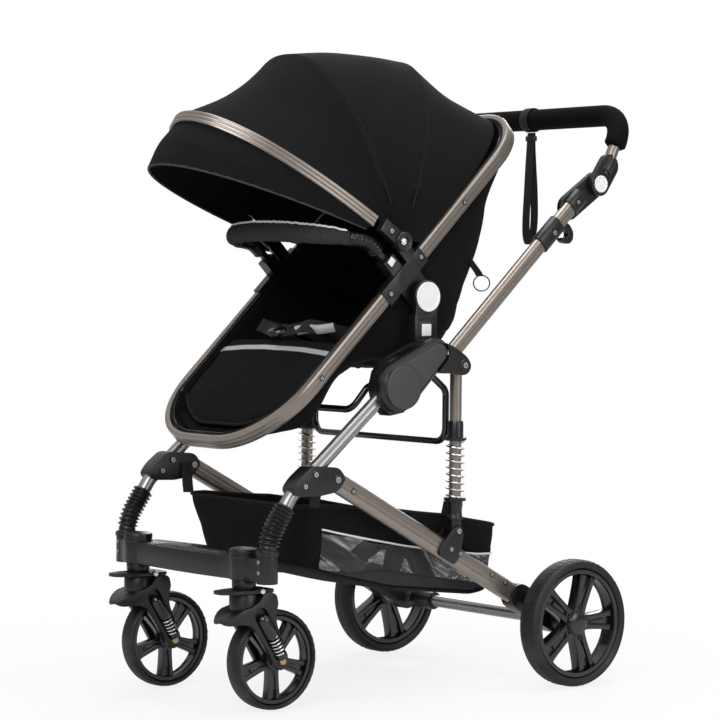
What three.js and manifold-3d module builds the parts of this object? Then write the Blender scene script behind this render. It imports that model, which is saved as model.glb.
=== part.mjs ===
// A fold-up baby stroller: front frame on swivelling wheels, rear legs on two spring struts,
// a handle that folds forward about the side hinges, and a tilting seat with a hood.
// Millimetres. +Z is up, -Y is the front, +X is the stroller's left side.
// Side-view places are written (y, z), with y = 0 over the rear axle and z = 0 on the ground.
import * as THREE from 'three';
import { mergeVertices } from 'three/addons/utils/BufferGeometryUtils.js';
import Module from 'manifold-3d';

const wasm = await Module();
wasm.setup();

// ---------------------------------------------------------------- driving dimensions
const GAP = 0.3;                    // between pieces that touch or are fastened
const RUN = 0.8;                    // running clearance of rubber, cloth and pivots

const WHEELBASE = 595;
/** A wheel: its radius, the thickness of its tyre and of its rim's hoop, and what else is set by itself. */
const wheelOf = (radius, tyreDepth, hoopDepth, rest) => (
  { radius, seat: radius - tyreDepth, opening: radius - tyreDepth - hoopDepth, ...rest });
const REAR_WHEEL = wheelOf(115, 16, 11, { width: 42, centre: 266.4, hub: 22, axle: 6 });
const FRONT_WHEEL = wheelOf(86.5, 9.5, 10, { width: 34, centre: 158, hub: 17, axle: 5 });
const CASTER_TRAIL = 58.5;
const CASTER_TOP = 277;
const CASTER_BOTTOM = 226;
const CASTER_RADIUS = 25;
const NECK_RADIUS = 11;

const LEG_X = 210;                  // centre plane of the front and rear legs
const LEG_RADIUS = 12.5;
const LEG_FOOT = [-WHEELBASE - 49, 229];
const LEG_KNEE = [-WHEELBASE - 48, 296];
const LEG_ELBOW = [-595, 367];
const LEG_TOP = [-372, 554];
const MAIN_PIVOT = [-366, 543];     // the handle folds about this
const REAR_PIVOT = [-509, 390.5];   // the rear legs fold about this
const STRUT_FOOT = [-237, 289];
const STRUT_HEAD = [-237, 580];
const REAR_LEG_END = [-62, 149];
const REAR_LEG_HEIGHT = 36;
const REAR_LEG_WIDTH = 20;

const STRUT_X = 212.7;
const STRUT_RADIUS = 10.5;
const COLLAR_RADIUS = 14;
const FLANGE_RADIUS = 19.5;
const FLANGE_THICKNESS = 5;
const SPRING_BOTTOM = 347;
const SPRING_TOP = 448;
const SPRING_RADIUS = 15.5;
const SPRING_WIRE = 1.6;
const SPRING_TURNS = 6;

const SHELL_INNER = 196;            // the hinge shells' inner face
const SHELL_OUTER = 223.2;
const COVER_INNER = 224;            // the handle's side starts here
const COVER_OUTER = 245.5;
const TUBE_X = 235;
const TUBE_WIDTH = 16;
const TUBE_DEPTH = 30;
const TUBE_FOOT = [-292, 578.5];
const TUBE_TOP = [25, 873];
const GRIP_PIVOT = [77, 904.5];
const GRIP_BEND = [108, 950];
const GRIP_TOP = [150, 1034];
const GRIP_RADIUS = 11;
const FOAM_RADIUS = 20;

const SEAT_X = 178;                 // centre plane of the seat frame's side bars
const SEAT_BOTTOM = [-628.5, 448];
const SEAT_TOP = [-36.3, 1019.8];
const SEAT_BAR = 12;
const SEAT_DEPTH = 26.6;
const SEAT_TOP_CORNER = 111;
const SEAT_BOTTOM_CORNER = 139;
const SLEEVE_WALL = 2;
const TILT_PIVOT = [-290, 699];
const CARRIER_OUTER = SHELL_INNER + 2.2;  // outer face of everything that carries the seat
const CARRIER_INNER = SEAT_X + 4;
const RECEIVER = { front: -322, back: -266, bottom: 575, top: 620 };
const HOOD_PIVOT = [-345, 794];
const BAR_SOCKET = [-361, 759];
const BAR_ANGLE = 142;              // the way the bumper bar pulls out
const BOW_ANGLE = 147;
const LINER_WALL = 12;
const CLOTH = 4;
const BUTTON_TRAVEL = 2;

// ---------------------------------------------------------------- shaping helpers
const rad = THREE.MathUtils.degToRad;
const at = (x, [y, z]) => new THREE.Vector3(x, y, z);
const along = ([y, z], degrees, d) => [y + d * Math.cos(rad(degrees)), z + d * Math.sin(rad(degrees))];
const heading = (a, b) => THREE.MathUtils.radToDeg(Math.atan2(b[1] - a[1], b[0] - a[0]));
const span = (a, b) => Math.hypot(b[0] - a[0], b[1] - a[1]);

/** A closed geometry as a solid that can be joined and cut. */
function solid(geometry) {
  const plain = geometry.index ? geometry.toNonIndexed() : geometry.clone();
  for (const name of Object.keys(plain.attributes)) if (name !== 'position') plain.deleteAttribute(name);
  const merged = mergeVertices(plain, 1e-4);
  const mesh = new wasm.Mesh({
    numProp: 3,
    vertProperties: new Float32Array(merged.attributes.position.array),
    triVerts: new Uint32Array(merged.index.array),
  });
  return new wasm.Manifold(mesh);
}

/** A solid as a geometry. */
function surface(manifold) {
  const mesh = manifold.getMesh();
  const geometry = new THREE.BufferGeometry();
  const points = new Float32Array(mesh.vertProperties);
  geometry.setAttribute('position', new THREE.BufferAttribute(points, mesh.numProp));
  geometry.setIndex(new THREE.BufferAttribute(new Uint32Array(mesh.triVerts), 1));
  return geometry;
}

const join = (...parts) => surface(parts.map(solid).reduce((a, b) => a.add(b)));
const cut = (part, ...tools) => surface(tools.map(solid).reduce((a, b) => a.subtract(b), solid(part)));

/** The same piece for the stroller's right side. */
function mirrored(geometry) {
  const copy = geometry.clone();
  copy.scale(-1, 1, 1);
  if (!copy.index) copy.setIndex([...Array(copy.attributes.position.count).keys()]);
  const index = copy.index.array;
  for (let i = 0; i < index.length; i += 3) [index[i], index[i + 1]] = [index[i + 1], index[i]];
  return copy;
}

/** A polygon with rounded corners; radius is one number, or one for each corner. */
function outline(points, radius = 0) {
  const shape = new THREE.Shape();
  points.forEach((p, i) => {
    const before = points.at(i - 1);
    const after = points[(i + 1) % points.length];
    const r = Array.isArray(radius) ? radius[i] : radius;
    const a = along(p, heading(p, before), Math.min(r, span(p, before) * 0.48));
    const b = along(p, heading(p, after), Math.min(r, span(p, after) * 0.48));
    if (i === 0) shape.moveTo(...a);
    else shape.lineTo(...a);
    if (r > 0) shape.quadraticCurveTo(...p, ...b);
  });
  shape.closePath();
  return shape;
}

/** The outline of a bar with round ends from a to b. */
function capsule(a, b, radius) {
  const turn = rad(heading(a, b));
  const shape = new THREE.Shape();
  shape.absarc(...b, radius, turn - Math.PI / 2, turn + Math.PI / 2, false);
  shape.absarc(...a, radius, turn + Math.PI / 2, turn + Math.PI * 1.5, false);
  shape.closePath();
  return shape;
}

function disc(centre, radius) {
  const shape = new THREE.Shape();
  shape.absarc(...centre, radius, 0, Math.PI * 2, false);
  return shape;
}

/** A side-view outline made thick from x0 to x1. */
function plate(shape, x0, x1, curveSegments = 4) {
  const options = { depth: x1 - x0, bevelEnabled: false, curveSegments };
  const turn = new THREE.Matrix4().set(0, 0, 1, x0, 1, 0, 0, 0, 0, 1, 0, 0, 0, 0, 0, 1);
  return new THREE.ExtrudeGeometry(shape, options).applyMatrix4(turn);
}

/** A plan-view outline made thick from z0 to z1. */
function slab(shape, z0, z1, curveSegments = 4) {
  const options = { depth: z1 - z0, bevelEnabled: false, curveSegments };
  return new THREE.ExtrudeGeometry(shape, options).translate(0, 0, z0);
}

const block = (x0, x1, y0, y1, z0, z1) => new THREE.BoxGeometry(x1 - x0, y1 - y0, z1 - z0)
  .translate((x0 + x1) / 2, (y0 + y1) / 2, (z0 + z1) / 2);

/** A round bar from one point to another. */
function rod(from, to, radius, sides = 16, endRadius = radius) {
  const way = to.clone().sub(from);
  const geometry = new THREE.CylinderGeometry(endRadius, radius, way.length(), sides);
  const turn = new THREE.Quaternion().setFromUnitVectors(new THREE.Vector3(0, 1, 0), way.clone().normalize());
  return geometry.applyQuaternion(turn).translate(...from.clone().addScaledVector(way, 0.5).toArray());
}

const pin = (centre, x0, x1, radius, sides = 16) => rod(at(x0, centre), at(x1, centre), radius, sides);

/** The hole for a many-sided pin that turns in it. */
const boreRadius = (radius, sides) => (radius + GAP) / Math.cos(Math.PI / sides);

/** A ring or wheel turned about X; the profile is a closed loop of [radius, x]. */
function turned(profile, centre, segments) {
  const points = [...profile, profile[0]].map(([r, x]) => new THREE.Vector2(r, x));
  return new THREE.LatheGeometry(points, segments).rotateZ(-Math.PI / 2).translate(0, ...centre);
}

/** Corner points and radii as the stations of a bent tube. */
function bentRoute(corners, radius, steps = 4) {
  const stations = [corners[0]];
  for (let i = 1; i < corners.length - 1; i += 1) {
    const r = Array.isArray(radius) ? radius[i - 1] : radius;
    const back = corners[i - 1].clone().sub(corners[i]).normalize();
    const on = corners[i + 1].clone().sub(corners[i]).normalize();
    const half = back.angleTo(on) / 2;
    const centre = back.clone().add(on).normalize().multiplyScalar(r / Math.sin(half)).add(corners[i]);
    const start = corners[i].clone().addScaledVector(back, r / Math.tan(half)).sub(centre);
    const finish = corners[i].clone().addScaledVector(on, r / Math.tan(half)).sub(centre);
    const axis = start.clone().cross(finish).normalize();
    for (let k = 0; k <= steps; k += 1) {
      stations.push(start.clone().applyAxisAngle(axis, start.angleTo(finish) * k / steps).add(centre));
    }
  }
  return [...stations, corners.at(-1)];
}

/** A path through given stations, whose sections keep one fixed direction sideways. */
class Route extends THREE.Curve {
  constructor(stations, side) {
    super();
    this.stations = stations;
    this.side = side;
  }

  getPointAt(u, target = new THREE.Vector3()) {
    return target.copy(this.stations[Math.round(u * (this.stations.length - 1))]);
  }

  getPoint(t, target) {
    return this.getPointAt(t, target);
  }

  computeFrenetFrames() {
    const tangents = this.stations.map((p, i, all) => {
      const before = all[Math.max(i - 1, 0)];
      const after = all[Math.min(i + 1, all.length - 1)];
      const into = p.clone().sub(before).normalize();
      const out = after.clone().sub(p).normalize();
      return into.add(out).normalize();
    });
    const normals = tangents.map((t) => this.side.clone().addScaledVector(t, -this.side.dot(t)).normalize());
    const binormals = tangents.map((t, i) => t.clone().cross(normals[i]));
    return { tangents, normals, binormals };
  }
}

const SIDEWAYS = new THREE.Vector3(1, 0, 0);

/** A bar of any section bent along stations. */
function swept(shape, stations, side = SIDEWAYS, curveSegments = 4) {
  const path = new Route(stations, side);
  const options = { extrudePath: path, steps: stations.length - 1, curveSegments };
  return new THREE.ExtrudeGeometry(shape, options);
}

/** An n-sided round section. */
function round(radius, sides = 12) {
  const corner = (i) => [radius * Math.cos(2 * Math.PI * i / sides), radius * Math.sin(2 * Math.PI * i / sides)];
  return outline([...Array(sides).keys()].map(corner));
}

/** A flat-oval section, wide across X. */
function oval(width, depth) {
  return capsule([0, (width - depth) / 2], [0, (depth - width) / 2], width / 2);
}

/**
 * A cloth panel: point(u, v, inset) gives its outer face for inset 0 and its inner face for its
 * thickness; the four edges are closed.
 */
function cloth(point, columns, rows, thickness) {
  const points = [];
  for (const inset of [0, thickness]) {
    for (let i = 0; i <= columns; i += 1) {
      for (let j = 0; j <= rows; j += 1) points.push(point(i / columns, j / rows, inset));
    }
  }
  const layer = (columns + 1) * (rows + 1);
  const index = [];
  const face = (a, b, c, d) => index.push(a, c, b, a, d, c);
  const id = (i, j, k) => k * layer + i * (rows + 1) + j;
  for (let i = 0; i < columns; i += 1) {
    for (let j = 0; j < rows; j += 1) {
      face(id(i, j, 0), id(i + 1, j, 0), id(i + 1, j + 1, 0), id(i, j + 1, 0));
      face(id(i, j, 1), id(i, j + 1, 1), id(i + 1, j + 1, 1), id(i + 1, j, 1));
    }
    face(id(i, 0, 0), id(i, 0, 1), id(i + 1, 0, 1), id(i + 1, 0, 0));
    face(id(i, rows, 0), id(i + 1, rows, 0), id(i + 1, rows, 1), id(i, rows, 1));
  }
  for (let j = 0; j < rows; j += 1) {
    face(id(0, j, 0), id(0, j + 1, 0), id(0, j + 1, 1), id(0, j, 1));
    face(id(columns, j, 0), id(columns, j, 1), id(columns, j + 1, 1), id(columns, j + 1, 0));
  }
  const geometry = new THREE.BufferGeometry().setFromPoints(points);
  geometry.setIndex(index);
  return geometry;
}

// ---------------------------------------------------------------- materials and assembly
const finish = (color, roughness, metalness) => ({ color, roughness, metalness });
const CHAMPAGNE = finish(0x8c8078, 0.35, 0.9);
const SILVER = finish(0xb9b7b4, 0.3, 0.9);
const CHROME = finish(0xd0d0d0, 0.15, 1);
const BLACK = finish(0x1c1d1f, 0.5, 0);
const RUBBER = finish(0x17181a, 0.8, 0);
const WHITE = finish(0xf1f2f4, 0.35, 0);
const FABRIC = finish(0x151618, 0.95, 0);
const WEBBING = finish(0x2a2b2d, 0.9, 0);

const stroller = new THREE.Group();

function add(name, look, geometry) {
  const mesh = new THREE.Mesh(geometry, new THREE.MeshStandardMaterial(look));
  mesh.name = name;
  stroller.add(mesh);
}

function pair(name, look, geometry) {
  add(`${name}_left`, look, geometry);
  add(`${name}_right`, look, mirrored(geometry));
}

// ---------------------------------------------------------------- front frame
const CASTER_AXIS = [FRONT_WHEEL.centre, -WHEELBASE - CASTER_TRAIL];

const LEG_SIDES = 12;
function legRoute(foot, top) {
  const corners = [foot, LEG_KNEE, LEG_ELBOW, top].map((p) => at(LEG_X, p));
  return bentRoute(corners, [90, 60], 3);
}

const legTube = (radius, foot = LEG_FOOT, top = LEG_TOP) => swept(round(radius, LEG_SIDES), legRoute(foot, top));
pair('front_leg', SILVER, legTube(LEG_RADIUS));

const BOOT_BOTTOM = CASTER_TOP + 4;
const BOOT_TOP = 348;
const BOOT_RIBS = 4;
/** The middle of the front leg at a height. */
function legAt(height) {
  const stations = legRoute(LEG_FOOT, LEG_TOP);
  const next = stations.findIndex((p) => p.z > height);
  const [low, high] = [stations[next - 1], stations[next]];
  return low.clone().lerp(high, (height - low.z) / (high.z - low.z));
}

/** A ribbed rubber sleeve, turned straight and then bent along the leg. */
function legBoot() {
  const profile = [];
  for (let i = 0; i <= 2 * BOOT_RIBS; i += 1) {
    profile.push([LEG_RADIUS + (i % 2 ? 4.6 : 2.6), i / (2 * BOOT_RIBS)]);
  }
  for (const t of [1, 0.75, 0.5, 0.25, 0]) profile.push([LEG_RADIUS + RUN, t]);
  const heights = [0, 0.25, 0.5, 0.75, 1].map((t) => THREE.MathUtils.lerp(BOOT_BOTTOM, BOOT_TOP, t));
  const path = new THREE.CatmullRomCurve3(heights.map(legAt));
  const points = [...profile, profile[0]].map(([radius, t]) => new THREE.Vector2(radius, t));
  const ring = new THREE.LatheGeometry(points, LEG_SIDES);
  const places = ring.attributes.position;
  for (let i = 0; i < places.count; i += 1) {
    const t = places.getY(i);
    const across = path.getTangentAt(t).cross(SIDEWAYS).normalize();
    const spot = path.getPointAt(t).addScaledVector(SIDEWAYS, places.getX(i)).addScaledVector(across, -places.getZ(i));
    places.setXYZ(i, ...spot.toArray());
  }
  return ring;
}
pair('leg_boot', RUBBER, legBoot());

const BRACKET = [[-606, 377], [-593, 394], [-564, 416], [-506, 411], [-491, 391], [-510, 370], [-550, 364], [-597, 366]];
const BRACKET_OUTER = 227;
const PIVOT_PIN = 4;
function legBracket() {
  const slot = block(LEG_X - REAR_LEG_WIDTH / 2 - GAP, LEG_X + REAR_LEG_WIDTH / 2 + GAP, -531, -480, 340, 440);
  const body = cut(plate(outline(BRACKET, 10), SHELL_INNER, BRACKET_OUTER), slot, legTube(LEG_RADIUS + GAP));
  return join(body, pin(REAR_PIVOT, SHELL_INNER + 1, BRACKET_OUTER - 1, PIVOT_PIN, 8));
}
pair('leg_bracket', BLACK, legBracket());

const BOARD_TOP = 264;
function footboard() {
  const [cx, cy] = CASTER_AXIS;
  const plan = new THREE.Shape();
  plan.moveTo(-cx, cy - 15);
  plan.quadraticCurveTo(0, cy - 34, cx, cy - 15);
  plan.lineTo(cx, cy + 40);
  plan.quadraticCurveTo(0, cy + 72, -cx, cy + 40);
  plan.closePath();
  const parts = [slab(plan, CASTER_BOTTOM, BOARD_TOP, 6)];
  const holes = [];
  for (const side of [-1, 1]) {
    const low = new THREE.Vector3(side * cx, cy, CASTER_BOTTOM);
    const high = new THREE.Vector3(side * cx, cy, CASTER_TOP);
    parts.push(rod(low, high, CASTER_RADIUS, 16));
    parts.push(slab(outline([[side * cx, cy - 20], [side * LEG_X, LEG_FOOT[0] - 16],
      [side * LEG_X, LEG_FOOT[0] + 16], [side * cx, cy + 30]]), CASTER_BOTTOM, BOARD_TOP));
    const socket = new THREE.Vector3(side * LEG_X, LEG_FOOT[0], CASTER_BOTTOM - 4);
    parts.push(rod(socket, socket.clone().setZ(CASTER_TOP), LEG_RADIUS + 5.5, 12));
    const bore = new THREE.Vector3(side * cx, cy, CASTER_BOTTOM - 1);
    holes.push(rod(bore, bore.clone().setZ(CASTER_TOP - 12), boreRadius(NECK_RADIUS, 10), 10));
    const tube = legTube(LEG_RADIUS + GAP, [LEG_FOOT[0], LEG_FOOT[1] - GAP]);
    holes.push(side > 0 ? tube : mirrored(tube));
  }
  return cut(join(...parts), ...holes);
}
add('footboard', BLACK, footboard());

// ---------------------------------------------------------------- side hinges of the front frame
const HINGE_RADIUS = 56;
const HINGE_PIN = 8;
const STRUT_PASS = 29;              // the shell stops here, so the strut can swing past
const STRUT_PASS_ANGLE = 37;
function hingeShell() {
  const pass = along(MAIN_PIVOT, STRUT_PASS_ANGLE, STRUT_PASS);
  const off = [[pass, -90], [along(pass, STRUT_PASS_ANGLE, 200), -90], [along(pass, STRUT_PASS_ANGLE, 200), 90],
    [pass, 90]].map(([p, turn]) => along(p, STRUT_PASS_ANGLE + turn, 200));
  const drum = cut(plate(disc(MAIN_PIVOT, HINGE_RADIUS), SHELL_INNER, SHELL_OUTER, 6), plate(outline(off), 180, 260));
  const { front, back, bottom, top } = RECEIVER;
  const link = plate(outline([[-417, 545], [-372, 521], [-345, 548], [-343, 568], [front + 10, bottom], [back, bottom],
    [back, top], [front, top], [-400, 588]], 3), CARRIER_OUTER - 9, CARRIER_OUTER, 2);
  const box = block(CARRIER_INNER, CARRIER_OUTER, front, back, bottom, top);
  const pocket = block(CARRIER_INNER + 3 - GAP, CARRIER_OUTER - 3 + GAP, front + 5 - GAP, back - 5 + GAP, bottom + 8, top + 5);
  const legEnd = along(LEG_TOP, heading(LEG_ELBOW, LEG_TOP), GAP);
  const body = cut(join(drum, link, box), pocket, legTube(LEG_RADIUS + GAP, LEG_FOOT, legEnd));
  return join(body, pin(MAIN_PIVOT, SHELL_OUTER - GAP, COVER_OUTER - 6, HINGE_PIN, 12));
}
pair('hinge_shell', BLACK, hingeShell());

const CROSSBAR_RADIUS = 6;
/** A bar from the left side to the right, through the points given for the left half. */
function crossbar(points, bends, radius, side, sides = 8) {
  const corners = [...points, ...points.slice().reverse().map((p) => p.clone().setX(-p.x))];
  return swept(round(radius, sides), bentRoute(corners, bends, 3), side);
}
const FRONT_BAR = [-430, 504];
const BAR_END = CARRIER_OUTER - 9 - GAP;
add('front_crossbar', BLACK, crossbar([at(BAR_END, [-404, 545]), at(BAR_END - 14, [-404, 545]), at(162, FRONT_BAR)],
  [10, 22, 22, 10], CROSSBAR_RADIUS, new THREE.Vector3(0, -0.845, 0.536)));

const REAR_BAR_X = 187;
const REAR_BAR = [-238, 444];
function rearCrossbar() {
  const top = at(REAR_BAR_X, [RECEIVER.back - 8, RECEIVER.bottom - GAP]);
  const drop = at(REAR_BAR_X, [REAR_BAR[0], RECEIVER.bottom - 40]);
  const corners = [top, top.clone().setZ(top.z - 12), drop, at(REAR_BAR_X, REAR_BAR)];
  return crossbar(corners, [6, 20, 24, 24, 20, 6], CROSSBAR_RADIUS, new THREE.Vector3(0, 1, 0));
}
add('rear_crossbar', BLACK, rearCrossbar());

// ---------------------------------------------------------------- swivelling front wheels
const AXLE_FRONT = [-WHEELBASE, FRONT_WHEEL.radius];
const ARM_IN = FRONT_WHEEL.width / 2 + 3;
const ARM_OUT = FRONT_WHEEL.width / 2 + 14;
const BRIDGE_TOP = FRONT_WHEEL.radius + 116.5;
const NECK_COLLAR = 20;
function fork() {
  const [cx, cy] = CASTER_AXIS;
  const spread = [cx - ARM_OUT, cx + ARM_OUT];
  const [ay, az] = AXLE_FRONT;
  const bridge = plate(outline([[cy - 31, az + 71.5], [cy - 21, BRIDGE_TOP], [ay - 9, BRIDGE_TOP], [ay + 3, az + 103.5],
    [ay - 5, az + 91.5], [ay - 37, az + 93.5], [ay - 55, az + 81.5], [cy - 16, az + 69.5]], 6), ...spread, 2);
  const armShape = outline([[cy - 12, az + 85.5], [ay - 2, az + 99.5], [ay + 18, az + 3.5], [ay, az - 18.5],
    [ay - 18, az - 2.5]], [8, 12, 14, 18, 14]);
  const arms = [[cx - ARM_OUT, cx - ARM_IN], [cx + ARM_IN, cx + ARM_OUT]].map(([a, b]) => plate(armShape, a, b, 3));
  const stem = new THREE.Vector3(cx, cy, BRIDGE_TOP - 6);
  const neck = rod(stem, stem.clone().setZ(CASTER_TOP - 14), NECK_RADIUS, 10);
  const collar = rod(stem, stem.clone().setZ(CASTER_BOTTOM - GAP), NECK_COLLAR, 12);
  const axle = pin(AXLE_FRONT, cx - ARM_OUT - 3, cx + ARM_OUT + 3, FRONT_WHEEL.axle, 8);
  return join(bridge, ...arms, neck, collar, axle);
}
pair('fork', BLACK, fork());

function lockLever() {
  const [cx, cy] = CASTER_AXIS;
  const back = cy + CASTER_TRAIL - 11;
  const tab = slab(outline([[cx - 26, back], [cx + 26, back], [cx + 27, cy - 20], [cx + 14, cy - 56],
    [cx - 14, cy - 56], [cx - 27, cy - 20]], 10), BRIDGE_TOP + GAP, BRIDGE_TOP + 6, 2);
  const hole = new THREE.Vector3(cx, cy, BRIDGE_TOP - 5);
  return cut(tab, rod(hole, hole.clone().setZ(BRIDGE_TOP + 12), NECK_COLLAR + 2.5, 12));
}
pair('lock_lever', BLACK, lockLever());

// ---------------------------------------------------------------- wheels
const SPOKE_PAIRS = 5;
function tyre(wheel, centre, segments) {
  const half = wheel.width / 2;
  const { radius, seat } = wheel;
  const profile = [[seat, -half + 4], [radius - 7, -half], [radius - 1.2, -half + 8], [radius, 0],
    [radius - 1.2, half - 8], [radius - 7, half], [seat, half - 4]];
  return turned(profile, centre, segments).translate(wheel.centre, 0, 0);
}

/** A rim with five pairs of spokes; turn is the way that the first pair points. */
function rim(wheel, centre, segments, turn, spread) {
  const half = wheel.width / 2 - 5;
  const outer = wheel.seat - GAP;
  const hoop = turned([[wheel.opening, -half], [outer, -half], [outer, half], [wheel.opening, half]], centre, segments);
  const hub = pin(centre, -half - 1, half + 1, wheel.hub, 10);
  const spokes = [];
  for (let i = 0; i < SPOKE_PAIRS; i += 1) {
    for (const side of [-1, 1]) {
      const angle = turn + 360 * i / SPOKE_PAIRS;
      const inner = along(along(centre, angle, wheel.hub * 0.7), angle + 90, side * spread * 0.45);
      const outside = along(along(centre, angle, wheel.opening + 3), angle + 90, side * spread);
      const lean = heading(inner, outside);
      const corners = [[inner, -90, 4.5], [outside, -90, 3.5], [outside, 90, 3.5], [inner, 90, 4.5]];
      spokes.push(plate(outline(corners.map(([p, t, d]) => along(p, lean + t, d))), -half * 0.6, half * 0.6));
    }
  }
  const body = join(hoop, hub, ...spokes);
  return cut(body, pin(centre, -half - 5, half + 5, boreRadius(wheel.axle, 8), 8)).translate(wheel.centre, 0, 0);
}
const FRONT_SEGMENTS = 24;
const REAR_SEGMENTS = 28;
pair('front_tyre', RUBBER, tyre(FRONT_WHEEL, AXLE_FRONT, FRONT_SEGMENTS));
pair('front_rim', BLACK, rim(FRONT_WHEEL, AXLE_FRONT, FRONT_SEGMENTS, 198, 11));
const AXLE_REAR = [0, REAR_WHEEL.radius];
pair('rear_tyre', RUBBER, tyre(REAR_WHEEL, AXLE_REAR, REAR_SEGMENTS));
pair('rear_rim', BLACK, rim(REAR_WHEEL, AXLE_REAR, REAR_SEGMENTS, 0, 14));

// ---------------------------------------------------------------- rear legs, axle and brake
const LEG_IN = LEG_X - REAR_LEG_WIDTH / 2;
const LEG_OUT = LEG_X + REAR_LEG_WIDTH / 2;
const FOOT_LUG = 10;
function rearLeg() {
  const slope = heading(REAR_PIVOT, REAR_LEG_END);
  const bar = plate(capsule(REAR_PIVOT, REAR_LEG_END, REAR_LEG_HEIGHT / 2), LEG_IN, LEG_OUT, 4);
  const under = along(STRUT_FOOT, slope - 90, 38);
  const ear = [along(STRUT_FOOT, slope + 90, 12), along(STRUT_FOOT, slope, 13), along(under, slope, 24),
    along(along(under, slope, 20), slope - 90, 18), along(along(under, slope, -22), slope - 90, 18),
    along(under, slope, -24), along(STRUT_FOOT, slope, -13)];
  const cheeks = [[LEG_IN - 4.5, LEG_IN + 0.5], [LEG_OUT - 0.5, LEG_OUT + 5]];
  const plates = cheeks.map(([a, b]) => plate(outline(ear, 6), a, b, 2));
  const bolt = pin(STRUT_FOOT, LEG_IN - 4, LEG_OUT + 4, PIVOT_PIN, 8);
  return cut(join(bar, ...plates, bolt), pin(REAR_PIVOT, LEG_IN - 5, LEG_OUT + 5, boreRadius(PIVOT_PIN, 8), 8));
}
pair('rear_leg', CHAMPAGNE, rearLeg());

const AXLE_TUBE = 11;
const HOUSING_IN = LEG_IN - 4;
const HOUSING_OUT = LEG_OUT + 5;
function rearAxle() {
  const parts = [pin(AXLE_REAR, -HOUSING_IN - 2, HOUSING_IN + 2, AXLE_TUBE, 12)];
  const holes = [];
  const leg = plate(capsule(REAR_PIVOT, REAR_LEG_END, REAR_LEG_HEIGHT / 2 + GAP), LEG_IN - GAP, LEG_OUT + GAP, 4);
  const from = along(REAR_LEG_END, heading(REAR_LEG_END, REAR_PIVOT), 30);
  const box = plate(capsule(from, AXLE_REAR, 23), HOUSING_IN, HOUSING_OUT, 4);
  const hub = pin(AXLE_REAR, HOUSING_OUT - 2, REAR_WHEEL.centre - REAR_WHEEL.width / 2 + 4 - RUN, 18, 12);
  const stub = pin(AXLE_REAR, HOUSING_OUT, REAR_WHEEL.centre + REAR_WHEEL.width / 2 - 2, REAR_WHEEL.axle, 8);
  for (const side of [1, -1]) {
    const place = (g) => (side > 0 ? g : mirrored(g));
    parts.push(place(box), place(hub), place(stub));
    holes.push(place(leg));
  }
  return cut(join(...parts), ...holes);
}
add('rear_axle', BLACK, rearAxle());

const PEDAL = [-172, -118];         // between these, beside the right wheel
function brakePedal() {
  const ring = cut(pin(AXLE_REAR, ...PEDAL, AXLE_TUBE + 6, 12),
    pin(AXLE_REAR, PEDAL[0] - 5, PEDAL[1] + 5, boreRadius(AXLE_TUBE, 12), 12));
  const [, z] = AXLE_REAR;
  const tread = plate(outline([[14, z - 7], [17, z + 7], [66, z - 7], [66, z - 14]], 3), ...PEDAL, 2);
  return join(ring, tread);
}
add('brake_pedal', BLACK, brakePedal());

// ---------------------------------------------------------------- struts
function strut() {
  const [y, foot] = STRUT_FOOT;
  const tall = (low, high, radius, sides) => rod(at(STRUT_X, [y, low]), at(STRUT_X, [y, high]), radius, sides);
  const head = STRUT_HEAD[1];
  const parts = [
    tall(foot + 10, head, STRUT_RADIUS, 12),
    tall(foot + 16, SPRING_BOTTOM, COLLAR_RADIUS, 12),
    tall(SPRING_BOTTOM - FLANGE_THICKNESS, SPRING_BOTTOM, FLANGE_RADIUS, 12),
    tall(SPRING_TOP, SPRING_TOP + FLANGE_THICKNESS, FLANGE_RADIUS, 12),
    tall(SPRING_TOP, SPRING_TOP + 34, COLLAR_RADIUS, 12),
    pin(STRUT_HEAD, STRUT_X - STRUT_RADIUS, STRUT_X + STRUT_RADIUS, 12, 12),
    plate(capsule(STRUT_FOOT, [y, foot + 24], 11), LEG_IN + 3, LEG_OUT - 1, 4),
  ];
  return cut(join(...parts), pin(STRUT_FOOT, LEG_IN - 5, LEG_OUT + 5, boreRadius(PIVOT_PIN, 8), 8));
}
pair('strut', CHAMPAGNE, strut());

function strutSpring() {
  const steps = SPRING_TURNS * 6;
  const low = SPRING_BOTTOM + GAP + SPRING_WIRE;
  const high = SPRING_TOP - GAP - SPRING_WIRE;
  const stations = [];
  for (let i = 0; i <= steps; i += 1) {
    const turn = 2 * Math.PI * SPRING_TURNS * i / steps;
    stations.push(new THREE.Vector3(STRUT_X + SPRING_RADIUS * Math.cos(turn),
      STRUT_FOOT[0] + SPRING_RADIUS * Math.sin(turn), low + (high - low) * i / steps));
  }
  return swept(round(SPRING_WIRE, 3), stations, new THREE.Vector3(0, 0, 1));
}
pair('strut_spring', CHROME, strutSpring());

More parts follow.
